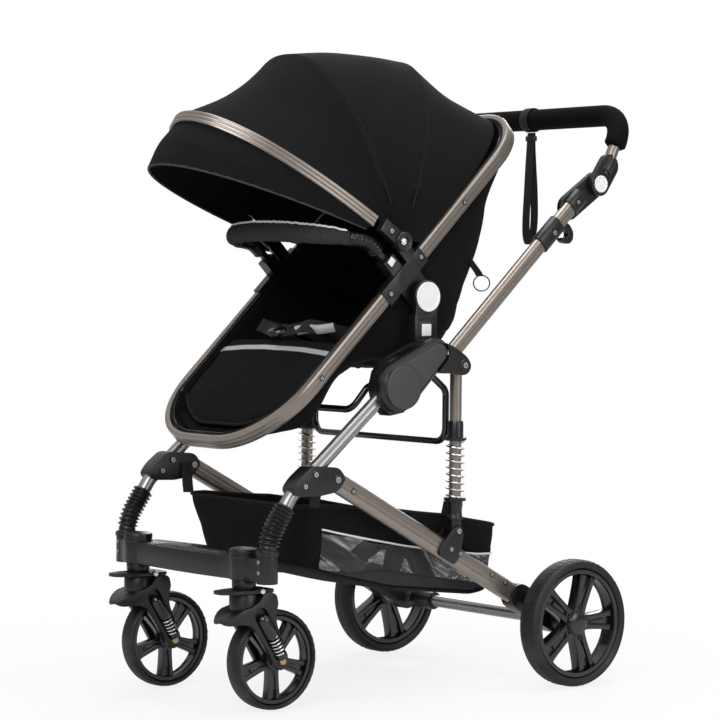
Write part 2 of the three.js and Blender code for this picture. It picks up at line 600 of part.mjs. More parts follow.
// ---------------------------------------------------------------- handle
const COVER = [[-429, 556], [-422, 513], [-396, 499], [-364, 503], [-326, 536], [-296, 565], [-271, 606],
  [-283, 626], [-300, 629], [-329, 620], [-368, 603], [-404, 583]];
const EAR = [[-300, 622], [-261, 624], [-232, 604], [-216, 578], [-232, 562], [-262, 563], [-300, 560]];
const EAR_THICKNESS = 6;
const tubeSlope = heading(TUBE_FOOT, TUBE_TOP);
const handleTube = (extra) => swept(oval(TUBE_WIDTH + 2 * extra, TUBE_DEPTH + 2 * extra),
  [at(TUBE_X, along(TUBE_FOOT, tubeSlope, -extra)), at(TUBE_X, TUBE_TOP)], SIDEWAYS, 4);
function hingeCover() {
  const body = plate(outline(COVER, 14), COVER_INNER, COVER_OUTER, 2);
  const ear = plate(outline(EAR, 14), COVER_INNER, COVER_INNER + EAR_THICKNESS, 2);
  const bolt = pin(STRUT_HEAD, COVER_INNER + 2, COVER_INNER + EAR_THICKNESS + 4, 8, 10);
  const bore = pin(MAIN_PIVOT, COVER_INNER - 5, COVER_OUTER - 5, boreRadius(HINGE_PIN, 12), 12);
  return cut(join(body, ear, bolt), bore, handleTube(GAP));
}
pair('hinge_cover', BLACK, hingeCover());

const JOINT_RADIUS = 23;
const JOINT_SPLIT = COVER_INNER + 10;
function handleSide() {
  const knuckle = plate(capsule(along(TUBE_TOP, tubeSlope, -18), GRIP_PIVOT, JOINT_RADIUS), COVER_INNER, JOINT_SPLIT, 4);
  const socket = swept(oval(TUBE_WIDTH + 5, TUBE_DEPTH + 5),
    [at(TUBE_X, along(TUBE_TOP, tubeSlope, -20)), at(TUBE_X, along(TUBE_TOP, tubeSlope, 14))], SIDEWAYS, 4);
  return join(handleTube(0), socket, knuckle);
}
pair('handle_tube', CHAMPAGNE, handleSide());

const TRIGGER_LOW = 225;            // along the tube, from its visible foot
const TRIGGER_HIGH = 290;
const TUBE_EXIT = [-225, 641];
function foldTrigger() {
  const ends = [TRIGGER_LOW, TRIGGER_HIGH].map((d) => at(TUBE_X, along(TUBE_EXIT, tubeSlope, d)));
  const sleeve = swept(oval(TUBE_WIDTH + 2 * RUN + 5, TUBE_DEPTH + 2 * RUN + 5), ends, SIDEWAYS, 4);
  const place = (d, off) => along(along(TUBE_EXIT, tubeSlope, d), tubeSlope - 90, off);
  const hook = plate(outline([place(228, 12), place(228, 22), place(262, 38), place(284, 48), place(296, 43),
    place(282, 32), place(276, 22), place(276, 12)], 6), TUBE_X - 9, TUBE_X + 3, 2);
  const hollow = swept(oval(TUBE_WIDTH + 2 * RUN, TUBE_DEPTH + 2 * RUN),
    [TRIGGER_LOW - 9, TRIGGER_HIGH + 9].map((d) => at(TUBE_X, along(TUBE_EXIT, tubeSlope, d))), SIDEWAYS, 4);
  return cut(join(sleeve, hook), hollow);
}
pair('fold_trigger', BLACK, foldTrigger());

const GRIP_BUTTON = 13;
const BUTTON_DEPTH = 6;
/** The hollow that a press button sits in, and the button, both facing +X. */
const buttonWell = (centre, face, radius) => pin(centre, face - BUTTON_DEPTH, face + 5, radius + GAP, 16);
const roundButton = (centre, face, radius) => pin(centre, face - BUTTON_DEPTH + BUTTON_TRAVEL + GAP,
  face + 2.4, radius, 16);

const GRIP_SIDE = new THREE.Vector3(0, -0.894, 0.447);
function gripBar() {
  const bend = heading(GRIP_BEND, GRIP_TOP);
  const corner = at(TUBE_X, GRIP_TOP);
  const start = at(TUBE_X, along(GRIP_PIVOT, heading(GRIP_PIVOT, GRIP_BEND), JOINT_RADIUS + 4));
  const bar = crossbar([start, at(TUBE_X, GRIP_BEND), corner], [40, 60, 60, 40], GRIP_RADIUS, GRIP_SIDE);
  const parts = [bar];
  const holes = [];
  for (const side of [1, -1]) {
    const place = (g) => (side > 0 ? g : mirrored(g));
    const end = along(GRIP_PIVOT, bend - 8, 40);
    const knuckle = plate(capsule(GRIP_PIVOT, end, JOINT_RADIUS - 1), JOINT_SPLIT + GAP, COVER_OUTER, 4);
    const arm = swept(round(GRIP_RADIUS + 4, 8), [start, at(TUBE_X, GRIP_BEND)]);
    parts.push(place(knuckle), place(arm));
    holes.push(place(buttonWell(GRIP_PIVOT, COVER_OUTER, GRIP_BUTTON)));
  }
  return cut(join(...parts), ...holes);
}
add('grip_bar', CHAMPAGNE, gripBar());
pair('grip_button', WHITE, roundButton(GRIP_PIVOT, COVER_OUTER, GRIP_BUTTON));

const FOAM_START = along(GRIP_TOP, heading(GRIP_TOP, GRIP_BEND), 68);
function gripFoam() {
  const sleeve = (radius, end) => crossbar([at(TUBE_X, along(FOAM_START, heading(GRIP_TOP, GRIP_BEND), end)),
    at(TUBE_X, GRIP_TOP)], [60, 60], radius, GRIP_SIDE);
  return cut(sleeve(FOAM_RADIUS, 0), sleeve(GRIP_RADIUS + GAP, 3));
}
add('grip_foam', RUBBER, gripFoam());

const STRAP_X = -22;
const STRAP_WIDTH = 20;
const STRAP_BOTTOM = 800;
function wristStrap() {
  const [y, z] = GRIP_TOP;
  const inner = FOAM_RADIUS + RUN;
  const ring = (grow) => plate(disc(GRIP_TOP, inner + grow), STRAP_X - STRAP_WIDTH / 2 - (grow ? 0 : 1), STRAP_X + STRAP_WIDTH / 2 + (grow ? 0 : 1), 8);
  const loop = (grow) => plate(capsule([y, STRAP_BOTTOM + 22], [y, z - 92], 19 + grow),
    STRAP_X - STRAP_WIDTH / 2 - (grow ? 0 : 1), STRAP_X + STRAP_WIDTH / 2 + (grow ? 0 : 1), 6);
  const neck = block(STRAP_X - STRAP_WIDTH / 2, STRAP_X + STRAP_WIDTH / 2, y - 3, y + 3, z - 74, z - inner - 1);
  return cut(join(ring(2.5), loop(2.5), neck), ring(0), loop(0));
}
add('wrist_strap', WEBBING, wristStrap());

// ---------------------------------------------------------------- seat carriers and buttons
const HUB_RADIUS = 29;
const TILT_BUTTON = 26;
const LUG_OUTER = 189;
function seatCarrier() {
  const { front, back, bottom, top } = RECEIVER;
  const plug = block(CARRIER_INNER + 3, CARRIER_OUTER - 3, front + 5, back - 5, bottom + 8 + GAP, top + 2);
  const body = block(CARRIER_INNER, CARRIER_OUTER, front + 3, back - 3, top + GAP, TILT_PIVOT[1] - HUB_RADIUS - 3);
  const neck = plate(outline([[front + 4, TILT_PIVOT[1] - 32], [back - 4, TILT_PIVOT[1] - 32],
    along(TILT_PIVOT, -20, HUB_RADIUS - 1), along(TILT_PIVOT, 200, HUB_RADIUS - 1)]), LUG_OUTER + GAP, CARRIER_OUTER);
  const hub = pin(TILT_PIVOT, LUG_OUTER + GAP, CARRIER_OUTER, HUB_RADIUS, 16);
  const square = block(CARRIER_OUTER - BUTTON_DEPTH, CARRIER_OUTER + 5, ...squareSides(GAP));
  return cut(join(plug, body, neck, hub), buttonWell(TILT_PIVOT, CARRIER_OUTER, TILT_BUTTON), square);
}
const SQUARE_BUTTON = 21;
function squareSides(grow) {
  const y = (RECEIVER.front + RECEIVER.back) / 2;
  const z = RECEIVER.top + 21;
  const half = SQUARE_BUTTON / 2 + grow;
  return [y - half, y + half, z - half, z + half];
}
pair('seat_carrier', BLACK, seatCarrier());
pair('carrier_button', WHITE,
  block(CARRIER_OUTER - BUTTON_DEPTH + BUTTON_TRAVEL + GAP, CARRIER_OUTER + 2.2, ...squareSides(0)));
pair('tilt_button', WHITE, roundButton(TILT_PIVOT, CARRIER_OUTER, TILT_BUTTON));

// ---------------------------------------------------------------- seat frame
const seatTilt = heading(SEAT_BOTTOM, SEAT_TOP);
const SEAT_MIDDLE = [(SEAT_BOTTOM[0] + SEAT_TOP[0]) / 2, (SEAT_BOTTOM[1] + SEAT_TOP[1]) / 2];
const SEAT_HALF = span(SEAT_BOTTOM, SEAT_TOP) / 2;
/** The place t along the seat frame and n in front of it. */
const onSeat = (t, n) => along(along(SEAT_MIDDLE, seatTilt, t), seatTilt + 90, n);

/** A rectangle along the seat frame with its own corner radius above and below. */
function seatRing(path, half, length, above, below) {
  path.absarc(half - above, length - above, above, 0, Math.PI / 2);
  path.absarc(above - half, length - above, above, Math.PI / 2, Math.PI);
  path.absarc(below - half, below - length, below, Math.PI, Math.PI * 1.5);
  path.absarc(half - below, below - length, below, Math.PI * 1.5, Math.PI * 2);
  path.closePath();
  return path;
}
function seatLoop(grow) {
  const out = SEAT_BAR / 2 + grow;
  const ring = (path, edge) => seatRing(path, SEAT_X + edge, SEAT_HALF + edge, SEAT_TOP_CORNER + edge,
    SEAT_BOTTOM_CORNER + edge);
  const shape = ring(new THREE.Shape(), out);
  shape.holes = [ring(new THREE.Path(), -out)];
  const depth = SEAT_DEPTH + 2 * grow;
  return new THREE.ExtrudeGeometry(shape, { depth, bevelEnabled: false, curveSegments: 6 })
    .translate(0, 0, -depth / 2).rotateX(rad(seatTilt)).translate(0, ...SEAT_MIDDLE);
}
add('seat_frame', CHAMPAGNE, seatLoop(0));

const SLEEVE = [-57, 39];           // along the seat frame
const HOOD_T = 32.7;                // the hood pivot's place along the seat frame
const SOCKET_T = [-17, 9];
const SOCKET_TOP = 46;
const PLUG_WIDTH = 12;
const BAR_HOLE_X = 168;
const PEDESTAL = [SEAT_X, SEAT_X + 7.7];
const HOOD_PIN = 5;
function seatConnector() {
  const half = SEAT_DEPTH / 2 + GAP + SLEEVE_WALL;
  const inner = SEAT_X - SEAT_BAR / 2 - GAP - SLEEVE_WALL;
  const outer = SEAT_X + SEAT_BAR / 2 + GAP + SLEEVE_WALL;
  const square = (t0, t1, n0, n1) => outline([onSeat(t0, n0), onSeat(t1, n0), onSeat(t1, n1), onSeat(t0, n1)]);
  const sleeve = plate(square(...SLEEVE, -half, half), inner, outer);
  const lug = plate(capsule(TILT_PIVOT, onSeat(6.3, -half + 2), HUB_RADIUS - 1), inner + 1, LUG_OUTER, 5);
  const axle = pin(TILT_PIVOT, LUG_OUTER - 2, LUG_OUTER + GAP - 0.1, 6, 12);
  const pedestal = plate(capsule(HOOD_PIVOT, onSeat(HOOD_T, 10), 13), ...PEDESTAL, 4);
  const knob = pin(HOOD_PIVOT, PEDESTAL[1] - 1, CARRIER_OUTER, HOOD_PIN, 12);
  const socket = plate(square(...SOCKET_T, half - 1, SOCKET_TOP), BAR_HOLE_X - 9, SEAT_X + 5);
  const well = plate(barButton(GAP), SEAT_X - 1.5, SEAT_X + 10);
  const body = cut(join(sleeve, lug, axle, pedestal, knob, socket), seatLoop(GAP), well);
  return cut(body, barPlug(GAP, -GAP));
}
const barWay = (d) => along(BAR_SOCKET, BAR_ANGLE, d);
function barPlug(grow, deeper) {
  const r = PLUG_WIDTH / 2 + grow;
  return plate(outline([[-12 + deeper, -r], [34, -r], [34, r], [-12 + deeper, r]]
    .map(([d, off]) => along(barWay(d), BAR_ANGLE + 90, off))), BAR_HOLE_X - r, BAR_HOLE_X + r);
}
function barButton(grow) {
  const [w, h] = [6 + grow, 7 + grow];
  return outline([[-w, -h], [w, -h], [w, h], [-w, h]].map(([d, off]) => along(barWay(d), BAR_ANGLE + 90, off)));
}
pair('seat_connector', BLACK, seatConnector());
pair('bar_button', WHITE, plate(barButton(0), SEAT_X + 0.8, SEAT_X + 6.5));

// ---------------------------------------------------------------- bumper bar
const BAR_CORNER = [-402, 790];
const BAR_FRONT = [-505, 797];
const BAR_SHOULDER = [162, 65];    // out from the middle, and back from the bar's front
const BAR_BOW = [102, 17];
const BAR_RADIUS = 14;
function bumperBar() {
  const bend = barWay(span(BAR_SOCKET, BAR_CORNER));
  const points = [at(BAR_HOLE_X, barWay(24)), at(BAR_HOLE_X, bend), ...[BAR_SHOULDER, BAR_BOW].map(([x, back]) => (
    new THREE.Vector3(x, BAR_FRONT[0] + back, BAR_FRONT[1]))), at(0, BAR_FRONT)];
  const whole = [...points, ...points.slice(0, -1).reverse().map((p) => p.clone().setX(-p.x))];
  const curve = new THREE.CatmullRomCurve3(whole, false, 'centripetal');
  const bar = swept(round(BAR_RADIUS, 8), curve.getSpacedPoints(16), new THREE.Vector3(0, 0.1, 1));
  return join(bar, barPlug(0, 0), mirrored(barPlug(0, 0)));
}
add('bumper_bar', FABRIC, bumperBar());

// ---------------------------------------------------------------- hood
const BOW = { half: PEDESTAL[1] - 1.7, top: 385, power: 2.05, thickness: 7, width: 22 };
const ARM_REACH = 62;
const HOOD_ROWS = 12;
/** The angle round an arch, for s from 0 on the left to 1 on the right. */
const archTurn = (s) => Math.PI * (0.05 + 0.9 * s);
const signedPower = (value, power) => Math.sign(value) * Math.abs(value) ** power;
function hoodBow() {
  const edge = (grow) => [...Array(HOOD_ROWS + 1).keys()].map((i) => {
    const turn = archTurn(i / HOOD_ROWS);
    return [signedPower(Math.cos(turn), 2 / BOW.power) * (BOW.half + grow),
      Math.sin(turn) ** (2 / BOW.power) * (BOW.top + grow)];
  });
  const band = outline([...edge(BOW.thickness / 2), ...edge(-BOW.thickness / 2).reverse()]);
  const strip = new THREE.ExtrudeGeometry(band, { depth: BOW.width, bevelEnabled: false })
    .translate(0, 0, -BOW.width / 2).rotateX(rad(BOW_ANGLE)).translate(0, ...HOOD_PIVOT);
  const arm = plate(capsule(HOOD_PIVOT, along(HOOD_PIVOT, BOW_ANGLE, ARM_REACH), 13.5), PEDESTAL[1] + GAP, CARRIER_OUTER - 1.2, 4);
  const shoe = plate(capsule(along(HOOD_PIVOT, BOW_ANGLE, 42), along(HOOD_PIVOT, BOW_ANGLE, ARM_REACH), 13.5),
    BOW.half - BOW.thickness / 2 + 0.2, PEDESTAL[1] + 2, 4);
  const bore = pin(HOOD_PIVOT, PEDESTAL[1] - 3, CARRIER_OUTER + 5, boreRadius(HOOD_PIN, 12), 12);
  return cut(join(strip, arm, mirrored(arm), shoe, mirrored(shoe)), bore, mirrored(bore));
}
add('hood_bow', CHAMPAGNE, hoodBow());

/** A hood edge: an arch about the hood pivot, at an angle, of a half width, a height and a squareness. */
const arch = (angle, half, top, power, shift = 0) => (s, inset) => {
  const turn = archTurn(s);
  const r = Math.sin(turn) ** (2 / power) * (top - inset);
  const side = along(along(HOOD_PIVOT, angle, r), angle - 90, shift);
  return at(signedPower(Math.cos(turn), 2 / power) * (half - inset), side);
};
const SEAT_ARCH_POWER = 3.4;
/** The hood's rear edge, which lies in front of the seat frame's bars. */
const seatArch = (s, inset) => {
  const turn = archTurn(s);
  const up = Math.sin(turn) ** (2 / SEAT_ARCH_POWER) * (SEAT_HALF - 6 - HOOD_T - inset);
  const x = signedPower(Math.cos(turn), 2 / SEAT_ARCH_POWER) * (SEAT_X - 1 - inset);
  return at(x, onSeat(HOOD_T + up, SEAT_DEPTH / 2 + RUN));
};
const SEAM = 0.25;
/** A panel through a row of edges; dip draws its middle in. */
function hoodPanel(edges, columns, dip) {
  const point = (u, v, inset) => {
    const step = Math.min(Math.floor(u * (edges.length - 1)), edges.length - 2);
    const t = u * (edges.length - 1) - step;
    const sag = dip * Math.sin(Math.PI * u) * Math.sin(Math.PI * v);
    return edges[step](v, inset + sag).lerp(edges[step + 1](v, inset + sag), t);
  };
  return cloth(point, columns, HOOD_ROWS, CLOTH);
}
const REAR_SEAM = [68, 192, 352, 2.2];
const FRONT_SEAM = [108.5, 189, 344, 2.3];
const VISOR_EDGE = [162, 174, 409, 2.08];
const UNDER_BOW = BOW.thickness / 2 + RUN;
add('hood_rear', FABRIC, hoodPanel([seatArch, arch(...REAR_SEAM, SEAM)], 3, 8));
add('hood_middle', FABRIC, hoodPanel([arch(...REAR_SEAM, -SEAM), arch(...FRONT_SEAM, SEAM)], 3, -8));
add('hood_front', FABRIC, hoodPanel([arch(...FRONT_SEAM, -SEAM),
  arch(BOW_ANGLE, BOW.half - UNDER_BOW, BOW.top - UNDER_BOW, BOW.power, BOW.width / 2 + 2),
  arch(BOW_ANGLE, BOW.half - UNDER_BOW, BOW.top - UNDER_BOW, BOW.power, -BOW.width / 2 - 2),
  arch(...VISOR_EDGE)], 6, 0));

// ---------------------------------------------------------------- seat liner
const LINER_OUTSIDE = [[-34, 1008], [-64, 950], [-104, 868], [-112, 800], [-150, 693], [-172, 638], [-215, 597],
  [-300, 580], [-375, 579], [-425, 561], [-455, 540], [-482, 498], [-510, 470], [-560, 458], [-598, 452]];
const LINER_HALF = SEAT_X - SEAT_BAR / 2 - SLEEVE_WALL - 2 * GAP;
const LINER_DEEP = 150;
const LINER_BACK_HALF = 128;
function seatLiner() {
  const floor = LINER_OUTSIDE;
  const lift = (p, i) => {
    const before = floor[Math.max(i - 1, 0)];
    const after = floor[Math.min(i + 1, floor.length - 1)];
    return along(p, heading(before, after) - 90, LINER_WALL);
  };
  const inner = floor.map(lift);
  const rim0 = onSeat(SEAT_HALF - 20, 4);
  const rim1 = onSeat(-SEAT_HALF + 20, 4);
  const block0 = plate(outline([...floor, rim1, rim0]), -LINER_HALF, LINER_HALF);
  const far = (p) => along(p, seatTilt + 90, 60);
  const hollow = plate(outline([...inner, far(rim1), far(rim0)]), -LINER_HALF + LINER_WALL, LINER_HALF - LINER_WALL);
  const edge = -SEAT_BAR / 2 - 2 * GAP;
  const inside = seatRing(new THREE.Shape(), LINER_HALF, SEAT_HALF + edge, SEAT_TOP_CORNER + edge,
    SEAT_BOTTOM_CORNER + edge);
  const column = new THREE.ExtrudeGeometry(inside, { depth: 500, bevelEnabled: false, curveSegments: 6 })
    .translate(0, 0, -300).rotateX(rad(seatTilt)).translate(0, ...SEAT_MIDDLE);
  const body = solid(block0).subtract(solid(hollow)).intersect(solid(column));
  return narrowed(surface(body));
}
/** Draws the liner's back and floor in from the width of the frame. */
function narrowed(geometry) {
  const places = geometry.attributes.position;
  const turn = rad(seatTilt + 90);
  for (let i = 0; i < places.count; i += 1) {
    const behind = -(places.getY(i) - SEAT_MIDDLE[0]) * Math.cos(turn) - (places.getZ(i) - SEAT_MIDDLE[1]) * Math.sin(turn);
    const share = THREE.MathUtils.clamp(behind / LINER_DEEP, 0, 1);
    places.setX(i, places.getX(i) * (1 - share * (1 - LINER_BACK_HALF / LINER_HALF)));
  }
  return geometry;
}
add('seat_liner', FABRIC, seatLiner());

// ---------------------------------------------------------------- basket
const BASKET_TOP = [[-548, 342], [-500, 345], [-350, 338], [-240, 322], [-105, 288]];
const BASKET_BOTTOM = [[-100, 172], [-160, 166], [-340, 186], [-470, 217], [-526, 236]];
const BASKET_HALF = LEG_IN - 5.5 - RUN;
const BASKET_FLOOR_HALF = 168;
const HOOK_TAB = { inner: 180, y: [-540, -512], z: [336, 398] };     // hooks the front edge on the leg bracket
function basket() {
  const side = outline([...BASKET_TOP, ...BASKET_BOTTOM], 4);
  const shell = plate(side, -BASKET_HALF, BASKET_HALF, 1);
  const inside = [...BASKET_TOP.map(([y, z], i) => [y + (i === 0 ? CLOTH : i === 4 ? -CLOTH : 0), z + 30]),
    ...BASKET_BOTTOM.map(([y, z], i) => [y + (i === 0 ? -CLOTH : i === 4 ? CLOTH : 0), z + CLOTH])];
  const hollow = plate(outline(inside), -BASKET_HALF + CLOTH, BASKET_HALF - CLOTH, 1);
  const tab = block(HOOK_TAB.inner, SHELL_INNER - GAP, ...HOOK_TAB.y, ...HOOK_TAB.z);
  return join(taper(cut(shell, hollow)), tab, mirrored(tab));
}
/** Draws the basket's floor in from the width of its rim. */
function taper(geometry) {
  const places = geometry.attributes.position;
  const top = 345;
  for (let i = 0; i < places.count; i += 1) {
    const down = THREE.MathUtils.clamp((top - places.getZ(i)) / (top - BASKET_BOTTOM[1][1]), 0, 1);
    const ahead = THREE.MathUtils.clamp((BASKET_TOP[1][0] - places.getY(i)) / 48, 0, 1);
    places.setX(i, places.getX(i) * (1 - down * (1 - BASKET_FLOOR_HALF / BASKET_HALF)) * (1 - 0.12 * ahead));
  }
  return geometry;
}
add('basket', FABRIC, basket());

// ---------------------------------------------------------------- origin: on the ground, under the middle
const box = new THREE.Box3().setFromObject(stroller);
const middle = box.getCenter(new THREE.Vector3());
for (const mesh of stroller.children) mesh.position.set(0, -middle.y, -box.min.z);

export default stroller;
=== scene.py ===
import math
from typing import NamedTuple
import bmesh
import bpy
import numpy as np
from bpy.props import FloatProperty, FloatVectorProperty, IntProperty, PointerProperty
from mathutils import Matrix, Vector, noise


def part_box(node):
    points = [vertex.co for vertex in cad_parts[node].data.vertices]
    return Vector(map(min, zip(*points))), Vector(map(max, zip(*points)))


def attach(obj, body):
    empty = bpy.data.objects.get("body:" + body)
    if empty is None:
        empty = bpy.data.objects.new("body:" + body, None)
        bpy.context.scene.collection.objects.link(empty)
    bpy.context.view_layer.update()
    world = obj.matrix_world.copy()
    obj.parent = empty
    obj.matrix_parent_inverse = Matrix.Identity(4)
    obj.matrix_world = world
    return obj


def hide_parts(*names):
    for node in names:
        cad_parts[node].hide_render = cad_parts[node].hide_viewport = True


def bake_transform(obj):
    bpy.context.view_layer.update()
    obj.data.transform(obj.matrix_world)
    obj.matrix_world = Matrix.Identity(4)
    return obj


bl_info = {
    "name": "Fold-up baby stroller",
    "version": (1, 0, 0),
    "blender": (4, 5, 0),
    "location": "3D View > Sidebar > Stroller",
    "description": "Dresses the stroller's frame with tubes, mouldings, wheels and cloth",
    "category": "Add Mesh",
}

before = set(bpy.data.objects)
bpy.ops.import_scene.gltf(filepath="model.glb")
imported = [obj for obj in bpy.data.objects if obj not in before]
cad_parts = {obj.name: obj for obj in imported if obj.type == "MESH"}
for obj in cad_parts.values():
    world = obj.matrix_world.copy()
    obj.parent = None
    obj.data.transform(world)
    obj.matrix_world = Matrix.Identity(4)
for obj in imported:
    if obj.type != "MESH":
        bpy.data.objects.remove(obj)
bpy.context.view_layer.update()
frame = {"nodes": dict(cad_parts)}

# ------------------------------------------------------------------ the frame's own places
# Side-view places are (y, z) in millimetres, y = 0 over the rear axle and z = 0 on the ground.
MM = 0.001
SHARP_EDGE = math.radians(38)
AXLE_LOW, AXLE_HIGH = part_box("rear_tyre_left")
SHIFT = (AXLE_LOW.y + AXLE_HIGH.y) / 2 / MM
LEFT, RIGHT = 1, -1
SIDES = {"left": LEFT, "right": RIGHT}

LEG_X = 210
LEG_RADIUS = 12.5
LEG_FOOT, LEG_KNEE, LEG_ELBOW, LEG_TOP = (-644, 229), (-643, 296), (-595, 367), (-372, 554)
REAR_PIVOT = (-509, 390.5)
STRUT_FOOT, STRUT_HEAD, STRUT_X = (-237, 289), (-237, 580), 212.7
REAR_LEG_END = (-62, 149)
CASTER_X, CASTER_Y = 158, -653.5
CASTER_TOP = 277
FRONT_RADIUS, FRONT_HALF, FRONT_X = 86.5, 17, 158
REAR_RADIUS, REAR_HALF, REAR_X = 115, 21, 266.4
FRONT_AXLE, REAR_AXLE = (-595, 86.5), (0, 115)
COVER_IN, COVER_OUT, TUBE_X = 224, 245.5, 235
TUBE_FOOT, TUBE_TOP = (-292, 578.5), (25, 873)
GRIP_PIVOT, GRIP_BEND, GRIP_TOP = (77, 904.5), (108, 950), (150, 1034)
GRIP_RADIUS, FOAM_RADIUS = 11, 20
SEAT_X, SEAT_BAR, SEAT_DEPTH = 178, 12, 26.6
SEAT_BOTTOM, SEAT_TOP = (-628.5, 448), (-36.3, 1019.8)
SEAT_TOP_CORNER, SEAT_BOTTOM_CORNER = 111, 139
TILT_PIVOT, HOOD_PIVOT = (-290, 699), (-345, 794)
CARRIER_OUT = 198.2
BAR_SOCKET, BAR_ANGLE = (-361, 759), 142
BOW_ANGLE = 147


# ------------------------------------------------------------------ side-view geometry
def toward(p, degrees, d):
    """The place at distance d from p in a direction of the side view."""
    turn = math.radians(degrees)
    return (p[0] + d * math.cos(turn), p[1] + d * math.sin(turn))


def beside(p, degrees, along, off):
    """The place at a distance along a direction from p, and off to that direction's left."""
    return toward(toward(p, degrees, along), degrees + 90, off)


def heading(a, b):
    """The direction from a to b in the side view, in degrees."""
    return math.degrees(math.atan2(b[1] - a[1], b[0] - a[0]))


def span(a, b):
    """The distance from a to b in the side view."""
    return math.hypot(b[0] - a[0], b[1] - a[1])


def at(x, p):
    """A side-view place at a distance from the middle plane."""
    return Vector((x, p[0], p[1]))


def lerp(a, b, t):
    """The value t of the way from a to b."""
    return a + (b - a) * t


def rounded(points, radius, steps):
    """A polygon whose corners are rounded, as a list of places."""
    out = []
    for i, p in enumerate(points):
        before, after = points[i - 1], points[(i + 1) % len(points)]
        r = radius[i] if isinstance(radius, (list, tuple)) else radius
        if r <= 0:
            out.append(p)
            continue
        a = toward(p, heading(p, before), min(r, span(p, before) * 0.48))
        b = toward(p, heading(p, after), min(r, span(p, after) * 0.48))
        for k in range(steps + 1):
            t = k / steps
            out.append(tuple(a[j] * (1 - t) ** 2 + 2 * p[j] * t * (1 - t) + b[j] * t * t for j in (0, 1)))
    return out


def arc(centre, radius, start, end, steps):
    """Places along an arc."""
    return [toward(centre, lerp(start, end, k / steps), radius) for k in range(steps + 1)]


def capsule(a, b, radius, steps=10):
    """The outline of a bar with round ends."""
    turn = heading(a, b)
    return arc(b, radius, turn - 90, turn + 90, steps) + arc(a, radius, turn + 90, turn + 270, steps)


def bend(corners, radius, steps):
    """Corner points as a path whose bends are arcs."""
    path = [corners[0]]
    for i in range(1, len(corners) - 1):
        r = radius[i - 1] if isinstance(radius, (list, tuple)) else radius
        back = (corners[i - 1] - corners[i]).normalized()
        on = (corners[i + 1] - corners[i]).normalized()
        half = back.angle(on) / 2
        centre = corners[i] + (back + on).normalized() * (r / math.sin(half))
        start = corners[i] + back * (r / math.tan(half)) - centre
        finish = corners[i] + on * (r / math.tan(half)) - centre
        axis = start.cross(finish).normalized()
        for k in range(steps + 1):
            path.append(centre + Matrix.Rotation(start.angle(finish) * k / steps, 3, axis) @ start)
    return path + [corners[-1]]


def mirrored(p):
    """A place on the other side of the middle plane."""
    return Vector((-p.x, p.y, p.z))


def both_ways(half):
    """A path whose right half mirrors its left one."""
    return half + [mirrored(p) for p in half[::-1]]


def metres(p):
    """A place in millimetres as one in the frame's metres."""
    return Vector((p[0] * MM, (p[1] + SHIFT) * MM, p[2] * MM))


def millimetres(p):
    """A place in the frame's metres as one in millimetres."""
    return Vector((p.x / MM, p.y / MM - SHIFT, p.z / MM))


def smooth(points, steps):
    """A smooth path through points."""
    out = []
    for i in range(len(points) - 1):
        p0, p1 = points[max(i - 1, 0)], points[i]
        p2, p3 = points[i + 1], points[min(i + 2, len(points) - 1)]
        for k in range(steps):
            t = k / steps
            out.append(0.5 * (2 * p1 + (p2 - p0) * t + (2 * p0 - 5 * p1 + 4 * p2 - p3) * t * t
                              + (3 * p1 - 3 * p2 + p3 - p0) * t ** 3))
    return out + [points[-1]]


def ellipse(wide, deep, sides):
    """An oval section."""
    turns = [math.tau * k / sides for k in range(sides)]
    return [(wide * math.cos(a), deep * math.sin(a)) for a in turns]


def circle(radius, sides):
    """A round section."""
    return ellipse(radius, radius, sides)


def flat_oval(width, depth, steps, ridge=0.0):
    """A section with round ends, wide across X; ridge sinks two fine lines into each flat side."""
    r = width / 2
    straight = (depth - width) / 2
    upper = [(r * math.cos(math.pi * k / steps),
              straight + r * math.sin(math.pi * k / steps)) for k in range(steps + 1)]
    lower = [(-x, -y) for x, y in upper]
    if ridge <= 0:
        return upper + lower
    marks = [straight * f for f in (0.62, 0.5, 0.38)]
    down = [(-r, marks[0]), (-r + ridge, marks[1]), (-r, marks[2]), (-r, -marks[2]), (-r + ridge, -marks[1]),
            (-r, -marks[0])]
    return upper + down + lower + [(-x, -y) for x, y in down]


